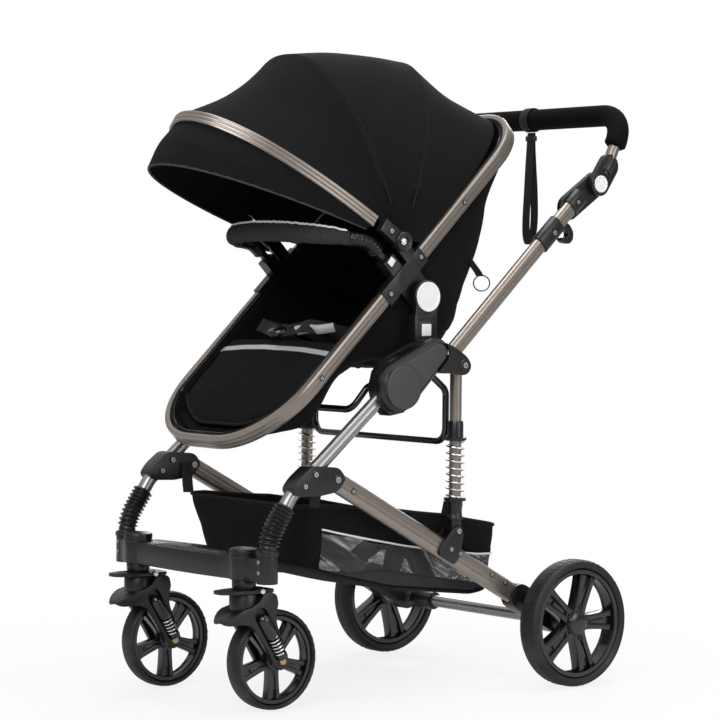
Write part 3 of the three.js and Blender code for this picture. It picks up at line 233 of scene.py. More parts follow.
# ------------------------------------------------------------------ forms
class Form:
    """Closed shapes gathered into one mesh, in millimetres."""

    def __init__(self):
        self.verts, self.faces, self.uvs, self.slots = [], [], [], []

    def add(self, verts, faces, uvs=None, slot=0):
        """Adds a shape; uvs holds one list of places for each face."""
        base = len(self.verts)
        self.verts += [Vector(v) for v in verts]
        self.faces += [[base + i for i in f] for f in faces]
        self.uvs += uvs or [[(0.0, 0.0)] * len(f) for f in faces]
        self.slots += [slot] * len(faces)
        return self

    def bevelled(self, width, segments=2):
        """Rounds every sharp edge."""
        bm = self.mesh()
        edges = [e for e in bm.edges if len(e.link_faces) == 2 and e.calc_face_angle() > SHARP_EDGE]
        bmesh.ops.bevel(bm, geom=edges, offset=width, segments=segments, profile=0.6, affect="EDGES",
                        clamp_overlap=True)
        return Form.of(bm)

    def mesh(self):
        """The form as a bmesh with its doubles merged and its faces outwards."""
        bm = bmesh.new()
        layer = bm.loops.layers.uv.new("thread")
        made = [bm.verts.new(v) for v in self.verts]
        bm.verts.index_update()
        for f, uv, slot in zip(self.faces, self.uvs, self.slots):
            try:
                face = bm.faces.new([made[i] for i in f])
            except ValueError:
                continue
            face.material_index = slot
            for loop, place in zip(face.loops, uv):
                loop[layer].uv = place
        bmesh.ops.remove_doubles(bm, verts=bm.verts, dist=0.001)
        bmesh.ops.recalc_face_normals(bm, faces=bm.faces)
        return bm

    @staticmethod
    def of(bm):
        """A bmesh as a form."""
        form = Form()
        layer = bm.loops.layers.uv.active
        bm.verts.index_update()
        form.verts = [v.co.copy() for v in bm.verts]
        for face in bm.faces:
            form.faces.append([v.index for v in face.verts])
            form.uvs.append([tuple(loop[layer].uv) for loop in face.loops])
            form.slots.append(face.material_index)
        bm.free()
        return form

    def moved(self, matrix):
        """The form after a transform."""
        copy = Form()
        copy.verts = [matrix @ v for v in self.verts]
        flip = matrix.determinant() < 0
        copy.faces = [f[::-1] if flip else f[:] for f in self.faces]
        copy.uvs = [u[::-1] if flip else u[:] for u in self.uvs]
        copy.slots = self.slots[:]
        return copy

    def on(self, side):
        """The form on the left, or its mirror image on the right."""
        return self if side == LEFT else self.moved(Matrix.Diagonal((-1, 1, 1, 1)))

    def solid(self, name, looks, sharp=35, subdivide=0):
        """The form as a mesh object with its finishes."""
        bm = bmesh.new()
        layer = bm.loops.layers.uv.new("thread")
        made = [bm.verts.new(metres(v)) for v in self.verts]
        for f, uv, index in zip(self.faces, self.uvs, self.slots):
            try:
                face = bm.faces.new([made[i] for i in f])
            except ValueError:
                continue
            face.material_index = index
            face.smooth = True
            for loop, place in zip(face.loops, uv):
                loop[layer].uv = place
        bmesh.ops.remove_doubles(bm, verts=bm.verts, dist=0.00002)
        bmesh.ops.recalc_face_normals(bm, faces=bm.faces)
        data = bpy.data.meshes.new(name)
        bm.to_mesh(data)
        bm.free()
        obj = bpy.data.objects.new(name, data)
        bpy.context.scene.collection.objects.link(obj)
        for item in [looks] if isinstance(looks, str) else looks:
            data.materials.append(look(item))
        if subdivide:
            modifier = obj.modifiers.new("Rounding", "SUBSURF")
            modifier.levels = modifier.render_levels = subdivide
            applied(obj)
        if sharp:
            obj.data.set_sharp_from_angle(angle=math.radians(sharp))
        return obj

    def piece(self, name, finish, body=None, node=None, slot=None, **how):
        """The form as a finished piece that rides on a body."""
        return settled(self.solid(name, finish, **how), finish, body, node)


def settled(obj, finish, body, node=None):
    """Seats a finished piece on its body and hides the frame node that it stands for."""
    if body:
        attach(obj, body)
    if node:
        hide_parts(node)
    return obj


def applied(obj):
    """Turns a piece's modifiers into plain mesh."""
    graph = bpy.context.evaluated_depsgraph_get()
    data = bpy.data.meshes.new_from_object(obj.evaluated_get(graph), depsgraph=graph)
    obj.modifiers.clear()
    data.name = obj.name
    obj.data = data
    return obj


# ------------------------------------------------------------------ shapes
def sweep(path, section, side=(1, 0, 0), closed=False, scale=None):
    """A section carried along a path, which keeps one direction sideways."""
    form = Form()
    side = Vector(side)
    n, m = len(path), len(section)
    verts, lengths = [], [0.0]
    for i, p in enumerate(path):
        before = path[i - 1] if closed or i else path[0]
        after = path[(i + 1) % n] if closed or i < n - 1 else path[-1]
        into = (p - before).normalized() if (p - before).length > 1e-9 else Vector()
        out = (after - p).normalized() if (after - p).length > 1e-9 else Vector()
        tangent = (into + out).normalized()
        normal = (side - tangent * side.dot(tangent)).normalized()
        across = tangent.cross(normal)
        k = scale(i / (n - 1)) if scale else 1.0
        verts += [p + normal * (a * k) + across * (b * k) for a, b in section]
        lengths.append(lengths[-1] + (after - p).length)
    around = run_of(section)
    faces, uvs = [], []
    for i in range(n if closed else n - 1):
        for j in range(m):
            a, b = i * m, ((i + 1) % n) * m
            faces.append([a + j, b + j, b + (j + 1) % m, a + (j + 1) % m])
            u0, u1, v0, v1 = lengths[i] * MM, lengths[i + 1] * MM, around[j] * MM, around[j + 1] * MM
            uvs.append([(u0, v0), (u1, v0), (u1, v1), (u0, v1)])
    form.add(verts, faces, uvs)
    if not closed:
        form.faces += [list(range(m))[::-1], [(n - 1) * m + j for j in range(m)]]
        form.uvs += [[(0.0, 0.0)] * m] * 2
        form.slots += [0, 0]
    return form


def rod(a, b, radius, sides):
    """A straight round bar."""
    a, b = Vector(a), Vector(b)
    way = (b - a).normalized()
    side = Vector((1, 0, 0)) if abs(way.x) < 0.9 else Vector((0, 0, 1))
    return sweep([a, b], circle(radius, sides), side)


def pin(centre, x0, x1, radius, sides):
    """A bar across the stroller."""
    return rod(at(x0, centre), at(x1, centre), radius, sides)


def spun(profile, origin, axis=(1, 0, 0), sides=48):
    """A closed profile of (radius, along) turned about an axis through origin."""
    axis = Vector(axis).normalized()
    first = axis.orthogonal().normalized() if abs(axis.x) < 0.9 else Vector((0, 0, 1))
    second = axis.cross(first)
    origin = Vector(origin)
    form = Form()
    m = len(profile)
    run = run_of(profile)
    verts = []
    for i in range(sides):
        turn = math.tau * i / sides
        out = first * math.cos(turn) + second * math.sin(turn)
        verts += [origin + out * r + axis * x for r, x in profile]
    faces, uvs = [], []
    for i in range(sides):
        for j in range(m):
            a, b = i * m, ((i + 1) % sides) * m
            k = (j + 1) % m
            if max(profile[j][0], profile[k][0]) < 1e-6:
                continue
            quad = [a + j, b + j, b + k, a + k]
            arc_a, arc_b = [math.tau * q / sides * max(profile[j][0], profile[k][0]) * MM for q in (i, i + 1)]
            place = [(arc_a, run[j] * MM), (arc_b, run[j] * MM), (arc_b, run[j + 1] * MM),
                     (arc_a, run[j + 1] * MM)]
            if profile[j][0] < 1e-6:
                quad, place = [a + j, b + k, a + k], [place[0], place[2], place[3]]
            elif profile[k][0] < 1e-6:
                quad, place = [a + j, b + j, a + k], [place[0], place[1], place[3]]
            faces.append(quad)
            uvs.append(place)
    return form.add(verts, faces, uvs)


def plate(outline, x0, x1, bevel=0.0, segments=2):
    """A side-view outline made thick across the stroller."""
    n = len(outline)
    verts = [at(x0, p) for p in outline] + [at(x1, p) for p in outline]
    faces = [list(range(n)), list(range(n, 2 * n))[::-1]]
    faces += [[i, i + n, (i + 1) % n + n, (i + 1) % n] for i in range(n)]
    uvs = [[(p[0] * MM, p[1] * MM) for p in outline], [(p[0] * MM, p[1] * MM) for p in outline][::-1]]
    run = run_of(outline)
    thick = abs(x1 - x0) * MM
    uvs += [[(run[i] * MM, 0), (run[i] * MM, thick), (run[i + 1] * MM, thick),
             (run[i + 1] * MM, 0)] for i in range(n)]
    form = Form().add(verts, faces, uvs)
    return form.bevelled(bevel, segments) if bevel else form


def block(x0, x1, y0, y1, z0, z1, bevel, segments=2):
    """A box with rounded edges."""
    return plate([(y0, z0), (y1, z0), (y1, z1), (y0, z1)], x0, x1, bevel, segments)


def merged(*forms):
    """Several forms as one."""
    whole = Form()
    for form in forms:
        whole.add(form.verts, form.faces, form.uvs)
        whole.slots[-len(form.faces):] = form.slots
    return whole


def run_of(points):
    """How far along a closed outline each point lies, and at last its whole length."""
    out = [0.0]
    for a, b in zip(points, points[1:] + points[:1]):
        out.append(out[-1] + math.dist(a, b))
    return out


def layered(outer, inner, columns, rows, place=None):
    """Two grids of places, column by column, one behind the other and closed round their edge."""
    def spot(i, j):
        return i * (rows + 1) + j

    layer = len(outer)
    faces, uvs = [], []
    for i in range(columns):
        for j in range(rows):
            corners = ((i, j), (i + 1, j), (i + 1, j + 1), (i, j + 1))
            quad = [spot(*c) for c in corners]
            uv = [place(*c) if place else (0.0, 0.0) for c in corners]
            faces += [quad, [layer + q for q in quad[::-1]]]
            uvs += [uv, uv[::-1]]
    edge = [spot(i, 0) for i in range(columns + 1)] + [spot(columns, j) for j in range(1, rows + 1)]
    edge += [spot(i, rows) for i in range(columns - 1, -1, -1)] + [spot(0, j) for j in range(rows - 1, 0, -1)]
    for a, b in zip(edge, edge[1:] + edge[:1]):
        faces.append([b, a, layer + a, layer + b])
        uvs.append([(0.0, 0.0)] * 4)
    return Form().add(outer + inner, faces, uvs)


def sheet_form(point, columns, rows, thickness):
    """Cloth with two faces: point(u, v) gives the outer face, and the inner lies a thickness behind."""
    grid = [[Vector(point(i / columns, j / rows)) for j in range(rows + 1)] for i in range(columns + 1)]
    normals = []
    for i in range(columns + 1):
        for j in range(rows + 1):
            du = grid[min(i + 1, columns)][j] - grid[max(i - 1, 0)][j]
            dv = grid[i][min(j + 1, rows)] - grid[i][max(j - 1, 0)]
            n = du.cross(dv)
            normals.append(n.normalized() if n.length > 1e-9 else Vector((0, 0, 1)))
    outer = [p for column in grid for p in column]
    inner = [p - n * thickness for p, n in zip(outer, normals)]
    across, down = [0.0], [0.0]
    for j in range(rows):
        across.append(across[-1] + (grid[columns // 2][j + 1] - grid[columns // 2][j]).length)
    for i in range(columns):
        down.append(down[-1] + (grid[i + 1][rows // 2] - grid[i][rows // 2]).length)
    return layered(outer, inner, columns, rows, lambda i, j: (down[i] * MM, across[j] * MM))


# ------------------------------------------------------------------ shader sums
class Wire:
    """A shader socket that can be reckoned with like a number or a vector."""

    def __init__(self, tree, socket):
        self.tree, self.socket = tree, socket

    @property
    def vector(self):
        return self.socket.type in ("VECTOR", "RGBA")

    def node(self, kind, output=0, settings=None, **links):
        """Any other node: its settings, and the values or wires of its inputs by name or _number."""
        made = self.tree.nodes.new(kind)
        for name, value in (settings or {}).items():
            setattr(made, name, value)
        for name, value in links.items():
            key = int(name[1:]) if name[0] == "_" else name.replace("_", " ")
            socket = made.inputs[key]
            if isinstance(value, Wire):
                self.tree.links.new(value.socket, socket)
            else:
                socket.default_value = value
        return Wire(self.tree, made.outputs[output])

    def reckon(self, operation, *others):
        """A Math or a Vector Math node on this wire and others."""
        values = [self, *others]
        if any(isinstance(v, Wire) and v.vector or isinstance(v, tuple) for v in values):
            full = [v if isinstance(v, (Wire, tuple)) else (v,) * 3 for v in values]
            made = {f"_{i}": v for i, v in enumerate(full)}
            which = 1 if operation == "LENGTH" else 0
            return self.node("ShaderNodeVectorMath", which, {"operation": operation}, **made)
        return self.node("ShaderNodeMath", settings={"operation": operation},
                         **{f"_{i}": v for i, v in enumerate(values)})

    def __add__(self, other):
        return self.reckon("ADD", other)

    def __sub__(self, other):
        return self.reckon("SUBTRACT", other)

    def __mul__(self, other):
        return self.reckon("MULTIPLY", other)

    def __gt__(self, other):
        return self.reckon("GREATER_THAN", other)

    def __rsub__(self, other):
        return self.node("ShaderNodeMath", settings={"operation": "SUBTRACT"}, _0=other, _1=self)

    __radd__, __rmul__ = __add__, __mul__

    def parts(self):
        """The three parts of a vector."""
        split = self.node("ShaderNodeSeparateXYZ", Vector=self)
        return [Wire(self.tree, socket) for socket in split.socket.node.outputs]

    def eased(self, low, high):
        """0 below low and 1 above high, smooth between."""
        return self.node("ShaderNodeMapRange", settings={"interpolation_type": "SMOOTHSTEP"}, Value=self,
                         From_Min=low, From_Max=high)

    def mixed(self, dark, light):
        """The colour this far from dark to light."""
        made = self.tree.nodes.new("ShaderNodeMix")
        made.data_type = "RGBA"
        self.tree.links.new(self.socket, made.inputs[0])
        for socket, value in ((made.inputs[6], dark), (made.inputs[7], light)):
            if isinstance(value, Wire):
                self.tree.links.new(value.socket, socket)
            else:
                socket.default_value = (*value[:3], 1.0)
        return Wire(self.tree, made.outputs[2])

    def grain(self, scale, detail=2.0, rough=0.5, stretch=(1, 1, 1)):
        """Noise at this place, from 0 to 1."""
        return self.node("ShaderNodeTexNoise", Vector=self * tuple(stretch), Scale=scale, Detail=detail,
                         Roughness=rough)

    def bump(self, distance, strength, below=None):
        """A height as a bumped normal."""
        links = {"Normal": below} if below else {}
        return self.node("ShaderNodeBump", Height=self, Distance=distance, Strength=strength, **links)


class Finish:
    """A material under construction: where it is on the piece, and what it gives its shader."""

    def __init__(self, name, color, roughness, metal=0.0, **fixed):
        self.material = bpy.data.materials.new(name)
        self.material.use_nodes = True
        self.tree = self.material.node_tree
        self.shader = self.tree.nodes["Principled BSDF"]
        self.color = tuple(color)[:3]
        self.give(Base_Color=(*self.color, 1.0), Roughness=roughness, Metallic=metal, **fixed)

    def give(self, **values):
        """Sets the shader's sockets or wires them."""
        for name, value in values.items():
            socket = self.shader.inputs[name.replace("_", " ")]
            if isinstance(value, Wire):
                self.tree.links.new(value.socket, socket)
            else:
                socket.default_value = value
        return self

    def place(self):
        """The place on the piece, in metres."""
        made = self.tree.nodes.new("ShaderNodeTexCoord")
        return Wire(self.tree, made.outputs["Object"])

    def thread(self):
        """The place along and across the cloth or bar, in metres."""
        made = self.tree.nodes.new("ShaderNodeUVMap")
        made.uv_map = "thread"
        return Wire(self.tree, made.outputs["UV"])

    def edges(self, amount):
        """How sharply the surface turns outwards here, for a highlight painted on sharp edges."""
        made = self.tree.nodes.new("ShaderNodeNewGeometry")
        return Wire(self.tree, made.outputs["Pointiness"]).eased(0.52, 0.60) * amount

    def tone(self, share):
        """The base colour times a share."""
        return tuple(c * share for c in self.color)


# ------------------------------------------------------------------ finishes
def brushed(name, color, rough):
    """Anodised tube: fine lines along it, cloudy sheen, and a highlight painted on its corners."""
    f = Finish(name, color, rough, 0.82, Coat_Weight=0.25, Coat_Roughness=0.3)
    place, thread = f.place(), f.thread()
    lines = thread.grain(900, 3.0, 0.6, (0.02, 1, 1))
    cloud = place.grain(22, 3.0)
    shade = (lines - 0.5) * 0.06 + (cloud - 0.5) * 0.10 + 0.5
    # a highlight painted on the tube's sharp corners, by how sharply the surface turns outwards
    corner_highlight = f.edges(0.35)
    f.give(Base_Color=corner_highlight.mixed(shade.mixed(f.tone(0.86), f.tone(1.14)), f.tone(1.5)),
           Roughness=rough + (lines - 0.5) * 0.06 + (cloud - 0.5) * 0.06,
           Normal=lines.bump(0.00001, 0.2))
    return f.material


def moulded(name, color, rough, bite, shine):
    """Injection-moulded plastic with a spark-eroded skin."""
    f = Finish(name, color, rough, Specular_IOR_Level=shine)
    place = f.place()
    skin = place.grain(1500, 2.0, 0.7)
    cloud = place.grain(30, 3.0)
    # a highlight painted on sharp edges, by how sharply the surface turns outwards
    edge_highlight = f.edges(0.5)
    shade = cloud * 0.5 + skin * 0.5
    f.give(Base_Color=edge_highlight.mixed(shade.mixed(f.tone(0.72), f.tone(1.25)), f.tone(2.1)),
           Roughness=rough + (cloud - 0.5) * 0.14 + (skin - 0.5) * 0.1,
           Normal=skin.bump(bite, 0.35))
    return f.material


def rubbery(name, color, rough):
    """Rubber with a soft bloom and a little dust in patches."""
    f = Finish(name, color, rough, Specular_IOR_Level=0.35)
    place = f.place()
    bloom = place.grain(60, 4.0, 0.6)
    pores = place.grain(2200, 1.0)
    dust = place.grain(14, 2.0).eased(0.5, 0.75) * 0.35
    f.give(Base_Color=dust.mixed(bloom.mixed(f.tone(0.75), f.tone(1.3)), (0.075, 0.07, 0.064)),
           Roughness=rough + (bloom - 0.5) * 0.16, Normal=(bloom * 0.5 + pores * 0.5).bump(0.0002, 0.3))
    return f.material


def foamy(name, color):
    """Closed-cell foam grip: fine pits all over."""
    f = Finish(name, color, 0.86, Specular_IOR_Level=0.08)
    place = f.place()
    cells = place.node("ShaderNodeTexVoronoi", Vector=place, Scale=620.0)
    dull = place.grain(40, 3.0)
    f.give(Base_Color=dull.mixed(f.tone(0.7), f.tone(1.35)), Roughness=0.82 + dull * 0.12,
           Normal=cells.bump(0.0005, 0.5))
    return f.material


def polished(name, color, rough=0.16):
    """Plated or bright metal with faint hairlines."""
    f = Finish(name, color, rough, 1.0)
    place = f.place()
    haze = place.grain(160, 3.0)
    hair = place.grain(1800, 1.0, 0.5, (1, 1, 0.1))
    f.give(Base_Color=haze.mixed(f.tone(0.85), f.tone(1.08)), Roughness=rough + haze * 0.12 + hair * 0.05,
           Normal=hair.bump(0.00003, 0.4))
    return f.material


def milky(name, color):
    """White button plastic: a smooth skin with a faintly cloudy tone."""
    f = Finish(name, color, 0.32, Coat_Weight=0.2, Coat_Roughness=0.2)
    place = f.place()
    cloud = place.grain(90, 3.0)
    f.give(Base_Color=cloud.mixed(f.tone(0.93), f.tone(1.02)), Roughness=0.28 + cloud * 0.1,
           Normal=place.grain(2000, 1.0).bump(0.00004, 0.3))
    return f.material


def woven(name, color, pitch, heather, lint=(0.12, 0.12, 0.125), by_thread=True, puff=0.0, mottle=0.4):
    """Plain-weave cloth with heathered yarns; puff adds a soft pucker between seams."""
    f = Finish(name, color, 0.92, Sheen_Weight=0.012, Sheen_Roughness=0.5, Specular_IOR_Level=0.08)
    place = f.place()
    if by_thread:
        spot = f.thread()
        u, v = spot.parts()[:2]
    else:
        spot = place
        x, y, z = place.parts()
        u, v = x + y * 0.35, z * 0.8 + y * 0.8
    turns = math.pi / pitch
    warp, weft = (u * turns).reckon("SINE"), (v * turns).reckon("SINE")
    over = (warp * weft) > 0.0
    height = over * warp.reckon("ABSOLUTE") + (1.0 - over) * weft.reckon("ABSOLUTE")
    yarn_a = spot.grain(2.2 / pitch, 2.0, 0.6, (0.06, 1, 1))
    yarn_b = spot.grain(2.2 / pitch, 2.0, 0.6, (1, 0.06, 1))
    yarn = over * yarn_a + (1.0 - over) * yarn_b
    slub = yarn.eased(0.5, 0.78) * heather
    cloud = place.grain(16, 4.0)
    melange = place.grain(420, 2.0, 0.7).eased(0.36, 0.72) * mottle
    ground = (height * 0.45 + cloud * 0.3 + melange).mixed(f.tone(0.5), f.tone(1.5))
    f.give(Base_Color=slub.mixed(ground, lint), Roughness=0.84 + cloud * 0.1)
    base = cloud.bump(0.004, 0.15) if not puff else (cloud * 0.5 + place.grain(55, 2.0) * 0.5).bump(puff, 0.6)
    f.give(Normal=height.bump(pitch * 0.35, 0.55, base))
    return f.material


def ribbed_web(name, color):
    """Woven strap: ribs across it and a twill over them."""
    pitch = 0.0016
    f = Finish(name, color, 0.85, Sheen_Weight=0.05, Specular_IOR_Level=0.25)
    spot = f.thread()
    u, v = spot.parts()[:2]
    ribs = (u * (math.tau / pitch)).reckon("SINE") * 0.5 + 0.5
    twill = ((u + v * 1.0) * (math.tau / (pitch * 1.6))).reckon("SINE") * 0.5 + 0.5
    speck = spot.grain(500, 2.0)
    f.give(Base_Color=(twill * 0.5 + speck * 0.5).mixed(f.tone(0.55), f.tone(1.4)),
           Roughness=0.8 + speck * 0.12, Normal=(ribs * 0.6 + twill * 0.4).bump(pitch * 0.4, 0.6))
    return f.material


def netting(name, color):
    """Diamond mesh whose holes let the inside show."""
    pitch, thread = 0.0058, 0.36
    f = Finish(name, color, 0.8)
    u, v = f.thread().parts()[:2]
    turns = math.pi / pitch
    one = ((u + v) * turns).reckon("SINE").reckon("ABSOLUTE")
    two = ((u - v) * turns).reckon("SINE").reckon("ABSOLUTE")
    near = one.reckon("MINIMUM", two)
    strand = 1.0 - near.eased(thread, thread + 0.16)
    cloud = f.place().grain(30, 3.0)
    f.give(Base_Color=(strand * 0.6 + cloud * 0.4).mixed(f.tone(0.6), f.tone(1.4)), Alpha=strand,
           Normal=strand.bump(0.0004, 0.5))
    return f.material


def reflective(name, color):
    """Silver tape of tiny beads."""
    f = Finish(name, color, 0.42, 0.35)
    place = f.place()
    beads = place.node("ShaderNodeTexVoronoi", Vector=place, Scale=1400.0)
    cloud = place.grain(40, 3.0)
    f.give(Base_Color=(beads * 0.5 + cloud * 0.5).mixed(f.tone(0.8), f.tone(1.15)),
           Roughness=0.36 + cloud * 0.14, Normal=beads.bump(0.0002, 0.4))
    return f.material


FINISHES = {}


def toned(color, share):
    """A colour made lighter or darker."""
    return tuple(v * share for v in color)


def look(name):
    """The finish of that name, made once, in the colours that the panel holds."""
    if name in FINISHES:
        return FINISHES[name]
    c = bpy.context.scene.stroller_colours
    makers = {
        "champagne": lambda: brushed("Champagne anodised", c.frame, 0.3),
        "silver": lambda: brushed("Silver anodised", c.legs, 0.27),
        "chrome": lambda: polished("Chrome", (0.72, 0.72, 0.73)),
        "brass": lambda: polished("Brass", (0.50, 0.36, 0.17), 0.26),
        "steel": lambda: polished("Screw steel", (0.46, 0.45, 0.44), 0.3),
        "plastic": lambda: moulded("Black moulding", c.plastic, 0.32, 0.00016, 0.42),
        "grey_plastic": lambda: moulded("Charcoal moulding", toned(c.plastic, 7), 0.42, 0.0003, 0.4),
        "gloss": lambda: moulded("Black gloss trim", toned(c.plastic, 0.8), 0.2, 0.00005, 0.6),
        "rubber": lambda: rubbery("Boot rubber", (0.005, 0.005, 0.0055), 0.28),
        "tyre": lambda: rubbery("Tyre rubber", (0.0075, 0.0075, 0.008), 0.55),
        "foam": lambda: foamy("Grip foam", (0.0035, 0.0035, 0.0038)),
        "white": lambda: milky("Milky button", c.buttons),
        "canopy": lambda: woven("Canopy weave", c.cloth, 0.0013, 0.4, (0.019, 0.0195, 0.022), mottle=1.5),
        "seat": lambda: woven("Seat cloth", toned(c.cloth, 1.1), 0.0011, 0.22, (0.028, 0.028, 0.031),
                              by_thread=False, puff=0.003),
        "pad": lambda: woven("Padded cloth", toned(c.cloth, 0.95), 0.0011, 0.3, (0.05, 0.05, 0.055),
                             by_thread=False, puff=0.0035),
        "lining": lambda: woven("Lining cloth", toned(c.cloth, 0.7), 0.0009, 0.1),
        "sleeve": lambda: woven("Bar sleeve cloth", (0.03, 0.031, 0.034), 0.0012, 0.45, (0.13, 0.13, 0.14),
                                puff=0.003),
        "piping": lambda: woven("White piping", (0.8, 0.8, 0.79), 0.0007, 0.1, (0.86, 0.86, 0.86)),
        "binding": lambda: woven("Grey binding", (0.045, 0.046, 0.052), 0.0008, 0.3, (0.12, 0.12, 0.12)),
        "dark_binding": lambda: woven("Black binding", (0.014, 0.014, 0.015), 0.0008, 0.2),
        "web": lambda: ribbed_web("Strap webbing", (0.015, 0.015, 0.017)),
        "grey_web": lambda: ribbed_web("Grey webbing", (0.13, 0.13, 0.135)),
        "net": lambda: netting("Basket netting", (0.03, 0.03, 0.031)),
        "tape": lambda: reflective("Reflective tape", (0.55, 0.56, 0.58)),
        "stitch": lambda: woven("Stitching", (0.06, 0.06, 0.065), 0.0005, 0.2, (0.12, 0.12, 0.12)),
    }
    FINISHES[name] = makers[name]()
    return FINISHES[name]


# ------------------------------------------------------------------ repeated things
class Tree:
    """A Geometry Nodes tree under construction, with its named inputs."""

    KINDS = {float: "NodeSocketFloat", int: "NodeSocketInt", bpy.types.Material: "NodeSocketMaterial"}

    def __init__(self, name, finish, **inputs):
        self.group = bpy.data.node_groups.new(name, "GeometryNodeTree")
        self.group.is_modifier = True
        self.finish = finish
        self.values = {"Finish": look(finish), **inputs}
        side = self.group.interface
        side.new_socket("Geometry", in_out="INPUT", socket_type="NodeSocketGeometry")
        for label, value in self.values.items():
            side.new_socket(label, in_out="INPUT", socket_type=self.KINDS[type(value)])
        side.new_socket("Geometry", in_out="OUTPUT", socket_type="NodeSocketGeometry")
        self.source = self.group.nodes.new("NodeGroupInput")

    def add(self, kind, settings=None, **links):
        """A node's first output, after its settings and its inputs' values or sockets by name or _number."""
        made = self.group.nodes.new(kind)
        for name, value in (settings or {}).items():
            setattr(made, name, value)
        for name, value in links.items():
            socket = made.inputs[int(name[1:]) if name[0] == "_" else name.replace("_", " ")]
            if isinstance(value, (bpy.types.NodeSocket, list)):
                for source in value if isinstance(value, list) else [value]:
                    self.group.links.new(source, socket)
            else:
                socket.default_value = value
        return made.outputs[0]

    def given(self, label):
        """The tree's own input."""
        return self.source.outputs[label]

    def named(self, name, kind="FLOAT"):
        """What the points carry under a name."""
        return self.add("GeometryNodeInputNamedAttribute", {"data_type": kind}, Name=name)

    def strewn(self, points, shape, aim=None, **scale):
        """The shape on every point, facing the way that aim or the points give; ends the tree."""
        aim = aim or self.named("aim", "FLOAT_VECTOR")
        turned = self.add("FunctionNodeAlignRotationToVector", {"axis": "Z"}, Vector=aim)
        return self.close(self.add("GeometryNodeInstanceOnPoints", Points=points, Instance=shape,
                                   Rotation=turned, **scale))

    def close(self, geometry):
        """Ends the tree: real mesh with the finish set."""
        real = self.add("GeometryNodeRealizeInstances", Geometry=geometry)
        done = self.add("GeometryNodeSetMaterial", Geometry=real, Material=self.given("Finish"))
        end = self.group.nodes.new("NodeGroupOutput")
        self.group.links.new(done, end.inputs[0])
        return self

    def grow(self, name, data, body, node=None):
        """The tree's result on a mesh, as a finished piece on a body."""
        obj = bpy.data.objects.new(name, data)
        bpy.context.scene.collection.objects.link(obj)
        modifier = obj.modifiers.new("Grown", "NODES")
        modifier.node_group = self.group
        for item in self.group.interface.items_tree:
            if item.in_out == "INPUT" and item.name in self.values:
                modifier[item.identifier] = self.values[item.name]
        applied(obj)
        made = bmesh.new()
        made.from_mesh(obj.data)
        bmesh.ops.remove_doubles(made, verts=made.verts, dist=0.000002)
        bmesh.ops.recalc_face_normals(made, faces=made.faces)
        for face in made.faces:
            face.smooth = True
        made.to_mesh(obj.data)
        made.free()
        obj.data.set_sharp_from_angle(angle=math.radians(35))
        return settled(obj, self.finish, body, node)


def marks(places):
    """A mesh of bare points that carry a direction and a size, in metres."""
    data = bpy.data.meshes.new("marks")
    data.from_pydata([metres(p) for p, _, _ in places], [], [])
    data.attributes.new("aim", "FLOAT_VECTOR", "POINT")
    data.attributes.new("size", "FLOAT", "POINT")
    for i, (_, way, scale) in enumerate(places):
        data.attributes["aim"].data[i].vector = Vector(way).normalized()
        data.attributes["size"].data[i].value = scale * MM
    return data


SOLID_ENDS = {"fill_type": "NGON"}
BY_RADIUS = {"mode": "RADIUS"}


def screw_tree():
    """A pan-head screw at each point, with a cross cut, facing where the point aims."""
    t = Tree("Screws", "steel", Sides=20)
    head, crown = [t.add("GeometryNodeMeshCylinder", SOLID_ENDS, Vertices=t.given("Sides"), Radius=radius,
                         Depth=depth) for radius, depth in ((1.0, 0.5), (0.82, 0.3))]
    lift = t.add("GeometryNodeTransform", Geometry=crown, Translation=(0, 0, 0.28))
    slots = [t.add("GeometryNodeTransform", Geometry=t.add("GeometryNodeMeshCube", Size=(1.1, 0.24, 0.5)),
                   Translation=(0, 0, 0.5), Rotation=(0, 0, turn + 0.4)) for turn in (0.0, math.pi / 2)]
    cut = t.add("GeometryNodeMeshBoolean", {"operation": "DIFFERENCE", "solver": "EXACT"}, _0=lift, _1=slots)
    whole = t.add("GeometryNodeJoinGeometry", _0=[cut, head])
    return t.strewn(t.given("Geometry"), whole, Scale=t.named("size"))


def ring_tree():
    """A collar round each point, facing where the point aims."""
    t = Tree("Collars", "gloss", Sides=28)
    path = t.add("GeometryNodeCurvePrimitiveCircle", BY_RADIUS, Resolution=t.given("Sides"), Radius=1.0)
    section = t.add("GeometryNodeCurvePrimitiveCircle", BY_RADIUS, Resolution=6, Radius=0.2)
    hoop = t.add("GeometryNodeCurveToMesh", Curve=path, Profile_Curve=section)
    return t.strewn(t.given("Geometry"), hoop, Scale=t.named("size"))


def spring_tree(turns, radius, height, wire):
    """A coil spring that stands on each point."""
    t = Tree("Coil spring", "chrome", Turns=float(turns), Radius=radius * MM, Height=height * MM,
             Wire=wire * MM)
    coil = t.add("GeometryNodeCurveSpiral", Resolution=28, Rotations=t.given("Turns"),
                 Start_Radius=t.given("Radius"), End_Radius=t.given("Radius"), Height=t.given("Height"))
    section = t.add("GeometryNodeCurvePrimitiveCircle", BY_RADIUS, Resolution=10, Radius=t.given("Wire"))
    body = t.add("GeometryNodeCurveToMesh", Curve=coil, Profile_Curve=section, Fill_Caps=True)
    return t.strewn(t.given("Geometry"), body)


def stitch_tree(finish, pitch, length, width):
    """Stitches laid end to end along a line of edges."""
    t = Tree("Stitches", finish, Pitch=pitch * MM, Length=length * MM, Width=width * MM)
    line = t.add("GeometryNodeMeshToCurve", Mesh=t.given("Geometry"))
    beads = t.add("GeometryNodeCurveToPoints", {"mode": "LENGTH"}, Curve=line, Length=t.given("Pitch"))
    thread = t.add("GeometryNodeMeshCylinder", SOLID_ENDS, Vertices=6, Radius=t.given("Width"),
                   Depth=t.given("Length"))
    return t.strewn(beads, thread, beads.node.outputs["Tangent"])


